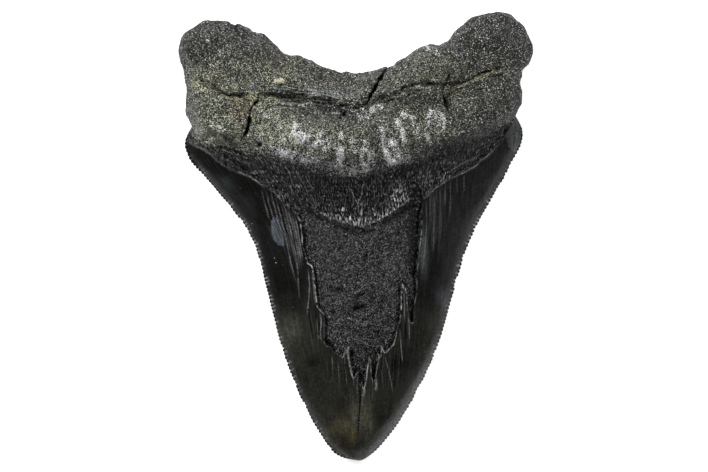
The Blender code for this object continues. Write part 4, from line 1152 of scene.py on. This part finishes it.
# sparkle: pale mineral specks and painted glints; the extra on the knobs, the bulge and the foot stands for light there
sparkle = top * np.clip(np.maximum.reduce([0.62 * zones["shine"], 0.54 * zones["glow"] * rooty]) + 0.04 * rooty + 0.14 * bulge + 0.86 * fringe
                        - rooty * np.maximum.reduce([0.44 * smooth(415, 455, g) * (1 - smooth(70, 105, h)), 0.5 * spot(446, 150, 24, 13, 1.5), 0.12 * smooth(440, 465, g), 0.15 * (1 - smooth(50, 80, h)),
                                                     0.20 * spot(335, 110, 52, 10, 1.5), 0.10 * spot(335, 80, 60, 18, 1.5)]), -0.4, 1.3)
more = mesh.color_attributes.new("more", "FLOAT_COLOR", "POINT")
rgba = np.stack([sparkle * (1 - 0.6 * zones["shade"]), np.clip(flecks, 0, 1.3), zones["shade"] * top, np.clip(zones["lip"], 0, 1.2) * top], 1)
more.data.foreach_set("color", rgba.ravel())
slope = np.gradient(at(BOUR_FOOT, np.arange(160.0, 550.0)))
slant = np.sqrt(1.0 + np.interp(g, np.arange(160.0, 550.0), slope) ** 2)
gaps = mesh.attributes.new("gaps", "FLOAT_VECTOR", "POINT")
gaps.data.foreach_set("vector", np.stack([np.clip(zones["bare_gap"], -9, 9), np.clip(zones["bour_gap"] / slant, -12, 30),
                                          np.clip(zones["line_gap"], 0, 9)], 1).ravel())

# fibre direction: the fan on the left runs with the blade, the rest straight down
fan = smooth(0.15, 0.5, -zones["t"])
along = fan * (zones["t"] * 105.0 + 360.0) + (1.0 - fan) * (g + 0.10 * (h - 250.0) * zones["t"])
lean = np.interp(g, (200, 260, 320, 352, 400, 480), (0.95, 0.68, 0.22, 0.0, -0.08, -0.38))
along = np.where(zones["bour"] + r > 0.5, g - (h - 165.0) * lean, along)
fan_west = np.interp(h, (185, 217, 238, 247, 268, 300), (257, 263, 271, 284, 292, 300))
scored = top * np.maximum.reduce([
    1.0 * spot(284, 236, 14, 50, 2.0, -0.16) * smooth(-1.5, 1.5, g - fan_west), 0.62 * spot(437, 214, 12, 42, 2.0, 0.06),
    0.8 * spot(314, 312, 8, 36, 2.0, -0.05), 0.5 * spot(345, 366, 20, 16, 2.0), 0.6 * spot(390, 366, 18, 22, 2.0),
    0.75 * spot(404, 318, 7, 34, 2.0), 0.3 * spot(462, 190, 12, 16, 2.0), 0.10 + 0.0 * g])
layered = zones["strata"] > 0.0
along = np.where(layered, zones["sd"] * 1.5, along)
down = np.where(layered, zones["frun"], h)
flow = mesh.attributes.new("flow", "FLOAT_VECTOR", "POINT")
flow.data.foreach_set("vector", np.stack([along, down, scored * en], 1).ravel())
strata = mesh.attributes.new("strata", "FLOAT", "POINT")
strata.data.foreach_set("value", zones["strata"] * top)
edge_marks = mesh.attributes.new("edge", "FLOAT_VECTOR", "POINT")
edge_marks.data.foreach_set("vector", np.stack([zones["ser"], np.clip(zones["rim"], 0, 12), zones["saw"]], 1).ravel())
knob_highlight = mesh.attributes.new("knob_highlight", "FLOAT", "POINT")
knob_highlight.data.foreach_set("value", zones["knob_highlight"] * top)
shade_below_lip = mesh.attributes.new("shade_below_lip", "FLOAT", "POINT")
shade_below_lip.data.foreach_set("value", zones["shade_below_lip"] * top)
pale = mesh.attributes.new("pale", "FLOAT", "POINT")
pale.data.foreach_set("value", zones["pale"] * top)
lit = mesh.attributes.new("lit", "FLOAT", "POINT")
lit.data.foreach_set("value", np.clip(zones["line"] * top, 0, 1.5))

# ------------------------------------------------------------------ material
fossil = bpy.data.materials.new("fossil_tooth_surface")
fossil.use_nodes = True
tree = fossil.node_tree
nodes, links = tree.nodes, tree.links
nodes.clear()
out = nodes.new("ShaderNodeOutputMaterial")
bsdf = nodes.new("ShaderNodeBsdfPrincipled")
links.new(bsdf.outputs["BSDF"], out.inputs["Surface"])
coord = nodes.new("ShaderNodeTexCoord")


def plug(value, socket):
    if isinstance(value, (int, float)):
        socket.default_value = value
    elif isinstance(value, tuple):
        socket.default_value = value if len(value) != 3 or socket.type == "VECTOR" else value + (1.0,)
    else:
        links.new(value, socket)


def calc(op, a, b2=None, c=None, clamp=False):
    node = nodes.new("ShaderNodeMath")
    node.operation = op
    node.use_clamp = clamp
    plug(a, node.inputs[0])
    if b2 is not None:
        plug(b2, node.inputs[1])
    if c is not None:
        plug(c, node.inputs[2])
    return node.outputs[0]


def stretch(scale):
    node = nodes.new("ShaderNodeMapping")
    node.inputs["Scale"].default_value = scale
    links.new(coord.outputs["Object"], node.inputs["Vector"])
    return node.outputs["Vector"]


def texture(kind, vector, scale, detail=2.0, rough=0.5):
    if kind == "noise":
        node = nodes.new("ShaderNodeTexNoise")
        node.inputs["Detail"].default_value = detail
        node.inputs["Roughness"].default_value = rough
    else:
        node = nodes.new("ShaderNodeTexVoronoi")
    node.inputs["Scale"].default_value = scale
    links.new(vector, node.inputs["Vector"])
    return node


def spread(value, a, b2, lo2=0.0, hi2=1.0, kind="SMOOTHSTEP"):
    node = nodes.new("ShaderNodeMapRange")
    node.interpolation_type = kind
    plug(value, node.inputs["Value"])
    plug(a, node.inputs["From Min"])
    plug(b2, node.inputs["From Max"])
    plug(lo2, node.inputs["To Min"])
    plug(hi2, node.inputs["To Max"])
    return node.outputs["Result"]


def blend(kind, weight, a, b2):
    node = nodes.new("ShaderNodeMix")
    node.data_type = "RGBA"
    node.blend_type = kind
    plug(weight, node.inputs["Factor"])
    plug(a, node.inputs[6])
    plug(b2, node.inputs[7])
    return node.outputs[2]


def attribute(name):
    node = nodes.new("ShaderNodeAttribute")
    node.attribute_name = name
    return node


def channels(socket, kind="Color"):
    node = nodes.new("ShaderNodeSeparateColor" if kind == "Color" else "ShaderNodeSeparateXYZ")
    links.new(socket, node.inputs[0])
    return node.outputs[0], node.outputs[1], node.outputs[2]


def grey(value):
    node = nodes.new("ShaderNodeCombineColor")
    for k in range(3):
        plug(value, node.inputs[k])
    return node.outputs[0]


def mul(*values):
    total = values[0]
    for v in values[1:]:
        total = calc("MULTIPLY", total, v)
    return total


def minus(a, b2):
    return calc("SUBTRACT", a, b2)


def lerp(a, b2, t):
    return calc("MULTIPLY_ADD", t, minus(b2, a), a)


tint_node = attribute("tint")
paint, tone = tint_node.outputs["Color"], tint_node.outputs["Alpha"]
zone_node = attribute("zone")
z_root, z_bare, z_bour = channels(zone_node.outputs["Color"])
z_dark = zone_node.outputs["Alpha"]
more_node = attribute("more")
m_shine, m_fleck, _ = channels(more_node.outputs["Color"])
m_lip = more_node.outputs["Alpha"]
bare_gap, border_gap, line_gap = channels(attribute("gaps").outputs["Vector"], "XYZ")
flow_vec = attribute("flow").outputs["Vector"]
_, _, m_score = channels(flow_vec, "XYZ")
m_line = attribute("lit").outputs["Fac"]
m_strata = attribute("strata").outputs["Fac"]
m_knob_highlight = attribute("knob_highlight").outputs["Fac"]
tooth_at, rim_gap, m_edge = channels(attribute("edge").outputs["Vector"], "XYZ")
m_shade_below_lip = attribute("shade_below_lip").outputs["Fac"]
m_pale = attribute("pale").outputs["Fac"]
even = stretch((1.0, 1.0, 1.0))


def along_flow(wide, tall):
    node = nodes.new("ShaderNodeMapping")
    node.inputs["Scale"].default_value = (1.0 / wide, 1.0 / tall, 0.0)
    links.new(flow_vec, node.inputs["Vector"])
    return node.outputs["Vector"]


def random_cell(scale):
    cell = texture("voronoi", even, scale)
    return channels(cell.outputs["Color"])


cell_r, cell_g, cell_b = random_cell(4000.0)
n1 = texture("noise", even, 3500.0, 1.0, 0.6).outputs["Fac"]
n2 = texture("noise", even, 1450.0, 1.0, 0.5).outputs["Fac"]
cloud = texture("noise", even, 420.0, 3.0, 0.6).outputs["Fac"]
jitter = mul(minus(n1, 0.5), 1.6)
jitter2 = mul(minus(n2, 0.5), 1.6)


def ragged(mask):
    return spread(calc("ADD", calc("ADD", mask, mul(jitter, 0.8)), jitter2), 0.34, 0.66)


w_root = mul(ragged(z_root), spread(z_root, 0.0, 0.06))
w_bare = spread(calc("ADD", bare_gap, mul(jitter, 1.2)), -0.35, 0.35)
w_bare = mul(w_bare, spread(z_bare, 0.0, 0.1))
w_bour = mul(minus(1.0, w_root), calc("ADD", z_bour, z_root, clamp=True), minus(1.0, w_bare))

# grains: dark pits, lighter crests
plate = texture("noise", along_flow(1.7, 19.0), 1.0, 1.0, 0.6).outputs["Fac"]
cells = mul(minus(cell_b, 0.62), 5.6)
deep = calc("ADD", mul(minus(n1, 0.5), 8.8), cells)
deep = calc("ADD", mul(deep, lerp(1.0, 0.45, m_strata)), mul(minus(plate, 0.5), m_strata, 15.0))
swath = texture("noise", even, 170.0, 2.0, 0.5).outputs["Fac"]
livelier = spread(swath, 0.36, 0.64, 0.80, 1.18, "LINEAR")
hole = spread(texture("noise", even, 760.0, 1.0, 0.5).outputs["Fac"], 0.36, 0.29)
root_gain = calc("POWER", 2.718, mul(deep, livelier))
root_gain = mul(root_gain, spread(cloud, 0.3, 0.7, 0.76, 0.94, "LINEAR"), spread(swath, 0.34, 0.66, 0.80, 1.08, "LINEAR"))
root_gain = mul(calc("MINIMUM", root_gain, 3.8), lerp(1.0, 0.62, hole))
n3 = texture("noise", even, 3700.0, 1.0, 0.6).outputs["Fac"]
deep_b = calc("ADD", mul(minus(n3, 0.5), 10.4), mul(cells, 1.35))
bare_gain = mul(calc("POWER", 2.718, deep_b), spread(cloud, 0.3, 0.7, 0.62, 0.92, "LINEAR"))
bare_gain = mul(calc("MINIMUM", bare_gain, 4.4), lerp(1.0, 0.15, hole))
faint = texture("noise", along_flow(1.5, 26.0), 1.0, 2.0, 0.6).outputs["Fac"]
enam_gain = calc("POWER", 2.718, calc("ADD", mul(minus(n2, 0.5), 1.6), mul(minus(faint, 0.5), 2.0)))
gain = lerp(enam_gain, root_gain, w_root)
gain = lerp(gain, bare_gain, w_bare)
colour = blend("MULTIPLY", 1.0, paint, grey(gain))
# sparkling specks on the root: pale mineral grains and painted glints, laid on thickest over the knobs, the bulge and
# the root's foot as painted light
spark = calc("ADD", m_shine, calc("ADD", mul(minus(n1, 0.5), 2.2), mul(minus(cell_b, 0.5), 1.3)))
spark = mul(spread(spark, 0.72, 1.14), w_root)
colour = blend("MIX", calc("MULTIPLY", spark, 0.94, clamp=True), colour, grey(spread(cell_r, 0.0, 1.0, 0.25, 0.82, "LINEAR")))

# painted highlights on the knobs: their grains turned light grey to white
patch = spread(calc("ADD", m_knob_highlight, calc("ADD", mul(minus(n1, 0.5), 3.0), mul(minus(cell_g, 0.5), 1.2))), 0.50, 0.94)
patch = mul(patch, w_root)
colour = blend("MIX", calc("MULTIPLY", patch, 0.92, clamp=True), colour, grey(lerp(0.46, 1.0, cell_r)))

# bourlette: light fibres on near-black
thread = texture("noise", along_flow(1.75, 10.5), 1.0, 2.0, 0.6)
thread.inputs["Distortion"].default_value = 0.4
fibre = spread(thread.outputs["Fac"], 0.575, 0.635)
streak = texture("noise", along_flow(1.05, 4.6), 1.0, 1.0, 0.6).outputs["Fac"]
deep_s = calc("ADD", mul(minus(streak, 0.5), 11.5), mul(minus(cell_b, 0.58), 3.2))
b_gain = mul(calc("POWER", 2.718, deep_s), 1.2, tone)
b_base = blend("MULTIPLY", 1.0, (0.0021, 0.0021, 0.0020), grey(calc("MINIMUM", b_gain, 14.0)))
b_col = blend("MIX", calc("MULTIPLY", mul(fibre, spread(streak, 0.47, 0.58), tone), 0.9, clamp=True), b_base, (0.165, 0.165, 0.160))
bead = spread(texture("noise", along_flow(1.25, 4.6), 1.0, 1.0, 0.5).outputs["Fac"], 0.675, 0.73)
b_col = blend("MIX", calc("MULTIPLY", mul(bead, tone), 0.9, clamp=True), b_col, (0.34, 0.34, 0.335))
colour = blend("MIX", w_bour, colour, b_col)
# flecks of pale mineral along the bourlette's foot
tick = texture("noise", along_flow(1.2, 4.6), 1.0, 1.0, 0.5).outputs["Fac"]
fleck = mul(spread(calc("ADD", tick, mul(m_fleck, 0.12)), 0.605, 0.665), m_fleck)
colour = blend("MIX", calc("MULTIPLY", fleck, 0.95, clamp=True), colour, (0.62, 0.62, 0.61))
# rare bright grains on root, bourlette and dentine
rough_zone = calc("ADD", w_root, calc("ADD", w_bour, w_bare), clamp=True)
glint = mul(spread(cell_r, 0.984, 0.993), calc("ADD", w_root, mul(calc("ADD", w_bour, w_bare), 0.5)), spread(cloud, 0.46, 0.56))
colour = blend("MIX", calc("MULTIPLY", glint, 0.75, clamp=True), colour, (0.55, 0.55, 0.53))
dust = mul(spread(cell_g, 0.9985, 0.9995), minus(1.0, rough_zone))
colour = blend("MIX", calc("MULTIPLY", dust, 0.35, clamp=True), colour, (0.12, 0.12, 0.12))
# scored enamel
score_a = texture("noise", along_flow(1.35, 44.0), 1.0, 1.0, 0.6).outputs["Fac"]
score_b = texture("noise", along_flow(4.2, 70.0), 1.0, 2.0, 0.6).outputs["Fac"]
score = calc("ADD", mul(score_a, 0.55), mul(score_b, 0.45))
w_enam = minus(1.0, rough_zone)
gouge = mul(spread(score, 0.51, 0.43), m_score, w_enam)
colour = blend("MULTIPLY", calc("MULTIPLY", gouge, 1.0, clamp=True), colour, (0.12, 0.12, 0.12))
scratch = mul(spread(score, 0.52, 0.61), m_score, w_enam, spread(cloud, 0.3, 0.6, 0.4, 1.0))
colour = blend("MIX", calc("MULTIPLY", scratch, 0.8, clamp=True), colour, (0.058, 0.060, 0.061))
# broken enamel edge along the bare place, pale and with a painted highlight; the raised lines
lip = mul(minus(1.0, spread(calc("ABSOLUTE", calc("ADD", bare_gap, 0.55)), 0.30, 0.85)), m_lip, spread(n2, 0.34, 0.52))
colour = blend("MIX", calc("MULTIPLY", lip, 0.95, clamp=True), colour, (0.52, 0.53, 0.52))
# painted shadow: a near-black strip on the dentine just below the enamel's broken edge
lip_shadow = mul(spread(bare_gap, -0.05, 0.25), minus(1.0, spread(bare_gap, 1.2, 2.3)), m_shade_below_lip, spread(n1, 0.62, 0.46))
colour = blend("MIX", calc("MULTIPLY", lip_shadow, 0.95, clamp=True), colour, (0.003, 0.003, 0.003))
seam = mul(minus(1.0, spread(line_gap, 0.3, 1.0)), m_line, 1.3, spread(n1, 0.38, 0.54))
colour = blend("MIX", calc("MULTIPLY", seam, 0.9, clamp=True), colour, (0.30, 0.305, 0.30))
# painted highlights: light dashes on the serrations, a little way in from the edge
which = nodes.new("ShaderNodeTexWhiteNoise")
which.noise_dimensions = "1D"
links.new(calc("FLOOR", calc("ADD", tooth_at, 0.5)), which.inputs["W"])
swing = calc("ABSOLUTE", calc("SINE", mul(tooth_at, math.pi)))
dash_reach = lerp(1.6, 6.0, which.outputs["Value"])
saw = mul(minus(1.0, spread(swing, 0.10, 0.46)), minus(1.0, spread(calc("DIVIDE", rim_gap, dash_reach), 0.25, 1.0)),
          m_edge, w_enam, spread(which.outputs["Value"], 0.1, 0.8, 0.40, 1.0), spread(n1, 0.40, 0.56, 0.3, 1.0))
colour = blend("MIX", calc("MULTIPLY", saw, 0.9, clamp=True), colour, (0.26, 0.265, 0.26))
# cracks and pits
crack = spread(calc("ADD", z_dark, mul(calc("ADD", mul(jitter, 1.2), mul(jitter2, 1.1)), 0.6)), 0.30, 0.56)
crack = mul(crack, spread(z_dark, 0.04, 0.16))
colour = blend("MIX", calc("MULTIPLY", crack, 0.95, clamp=True), colour, (0.003, 0.003, 0.003))
speck = spread(calc("ADD", m_pale, mul(minus(n1, 0.5), 0.4)), 0.50, 0.76)
colour = blend("MIX", speck, colour, blend("MIX", spread(m_pale, 1.0, 1.3), (0.36, 0.36, 0.335), paint))
links.new(colour, bsdf.inputs["Base Color"])

# roughness: glossy enamel, matt root and dentine
smear = texture("noise", even, 140.0, 4.0, 0.6).outputs["Fac"]
rough = spread(smear, 0.3, 0.7, 0.18, 0.34)
rough = lerp(rough, 0.30, w_root)
rough = lerp(rough, 0.23, w_bare)
rough = lerp(rough, 0.15, w_bour)
rough = minus(rough, mul(m_shine, 0.12))
rough = lerp(rough, 0.62, mul(w_root, spread(rim_gap, 8.0, 2.5)))
rough = lerp(rough, 0.14, crack)
links.new(rough, bsdf.inputs["Roughness"])
bsdf.inputs["IOR"].default_value = 1.5
bsdf.inputs["Specular IOR Level"].default_value = 0.24

# relief finer than the mesh
facet = calc("ADD", mul(n1, 1.0), mul(n2, 0.35))
up1 = mul(facet, calc("ADD", mul(w_root, 0.85), mul(w_bare, 0.75)))
up2 = mul(w_bour, calc("ADD", mul(thread.outputs["Fac"], 0.9), mul(streak, 0.7)))
up1 = calc("ADD", up1, mul(plate, m_strata, 1.2))
up3 = mul(score, calc("MULTIPLY_ADD", m_score, 0.5, 0.02), w_enam)
height = calc("ADD", calc("ADD", up1, up2), up3)
bump = nodes.new("ShaderNodeBump")
bump.inputs["Strength"].default_value = 1.0
bump.inputs["Distance"].default_value = 0.00040
links.new(height, bump.inputs["Height"])
# every grain and splinter is a small facet turned its own way
def vector(op, a, b2=None, size=None):
    node = nodes.new("ShaderNodeVectorMath")
    node.operation = op
    links.new(a, node.inputs[0])
    if b2 is not None:
        plug(b2, node.inputs[1])
    if size is not None:
        plug(size, node.inputs["Scale"])
    return node.outputs[0]


def facets(size, much):
    turn = vector("SUBTRACT", texture("voronoi", even, size).outputs["Color"], (0.5, 0.5, 0.5))
    steep = nodes.new("ShaderNodeVectorMath")
    steep.operation = "DOT_PRODUCT"
    links.new(turn, steep.inputs[0])
    links.new(turn, steep.inputs[1])
    return vector("SCALE", turn, size=mul(calc("ADD", steep.outputs["Value"], 0.04), much))


tilt = facets(4300.0, 6.2)
lively = calc("ADD", calc("ADD", mul(w_root, spread(root_gain, 0.15, 1.3, 0.40, 0.95, "LINEAR")),
                          mul(w_bare, spread(bare_gain, 0.15, 1.5, 0.35, 1.0, "LINEAR"))),
              mul(w_bour, spread(streak, 0.44, 0.60, 0.04, 0.80, "LINEAR")))
lively = mul(lively, lerp(1.0, 0.1, crack))
tilt = vector("SCALE", tilt, size=mul(lively, spread(tone, 0.15, 0.85, 0.25, 1.0)))
turned = vector("NORMALIZE", vector("ADD", bump.outputs["Normal"], tilt))
links.new(turned, bsdf.inputs["Normal"])

mesh.materials.append(fossil)
tooth = bpy.data.objects.new("tooth_surface", mesh)
bpy.context.scene.collection.objects.link(tooth)
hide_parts("tooth")
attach(tooth, "root")

# ------------------------------------------------------------------ studio
floor_mesh = bpy.data.meshes.new("floor")
floor_mesh.from_pydata([(-3, -3, 0), (3, -3, 0), (3, 3, 0), (-3, 3, 0)], [], [(0, 1, 2, 3)])
floor = bpy.data.objects.new("floor", floor_mesh)
bpy.context.scene.collection.objects.link(floor)
paper = bpy.data.materials.new("floor_paper")
paper.use_nodes = True
pb = paper.node_tree.nodes["Principled BSDF"]
pb.inputs["Base Color"].default_value = (0.80, 0.80, 0.80, 1)
pb.inputs["Roughness"].default_value = 0.9
pb.inputs["Specular IOR Level"].default_value = 0.0
pb.inputs["Emission Color"].default_value = (1, 1, 1, 1)
pb.inputs["Emission Strength"].default_value = 0.68
floor_mesh.materials.append(paper)


def softbox(name, place, size, power, target=(0, 0, 0.005)):
    data = bpy.data.lights.new(name, "AREA")
    data.shape = "RECTANGLE"
    data.size, data.size_y = size
    data.energy = power
    lamp = bpy.data.objects.new(name, data)
    lamp.location = place
    aim = Vector(target) - Vector(place)
    lamp.rotation_euler = aim.to_track_quat("-Z", "Y").to_euler()
    bpy.context.scene.collection.objects.link(lamp)
    return lamp


softbox("key_left", (-0.62, 0.42, 0.54), (0.40, 0.40), 10.5)
softbox("fill_right", (0.62, 0.36, 0.50), (0.40, 0.40), 4.4)
softbox("front", (0.10, -0.80, 0.46), (0.6, 0.36), 0.6)
softbox("low_right", (0.95, -0.50, 0.16), (0.7, 0.22), 0.8)

world = bpy.data.worlds.new("studio")
world.use_nodes = True
# a light tent: pale low down all round, dark overhead where the camera looks in
wn, wl = world.node_tree.nodes, world.node_tree.links
where = wn.new("ShaderNodeTexCoord")
parts = wn.new("ShaderNodeSeparateXYZ")
wl.new(where.outputs["Generated"], parts.inputs[0])
fall = wn.new("ShaderNodeMapRange")
fall.interpolation_type = "SMOOTHSTEP"
wl.new(parts.outputs[2], fall.inputs["Value"])
for socket, value in (("From Min", 0.04), ("From Max", 0.26), ("To Min", 0.6), ("To Max", 0.065)):
    fall.inputs[socket].default_value = value
wn["Background"].inputs["Color"].default_value = (1, 1, 1, 1)
wl.new(fall.outputs["Result"], wn["Background"].inputs["Strength"])
bpy.context.scene.world = world

LENS = 420.0
cam_data = bpy.data.cameras.new("camera")
cam_data.lens = LENS
cam_data.sensor_width = 36.0
cam_data.clip_end = 20.0
cam = bpy.data.objects.new("camera", cam_data)
far = LENS / 36.0 * 708 * GRID
cam.location = ((354.0 - G0) * GRID, (H0 - 236.0) * GRID, far + 0.004)
cam.rotation_euler = (0, 0, 0)
bpy.context.scene.collection.objects.link(cam)
bpy.context.scene.camera = cam
bpy.context.scene.view_settings.view_transform = "Standard"
bpy.context.scene.view_settings.look = "None"
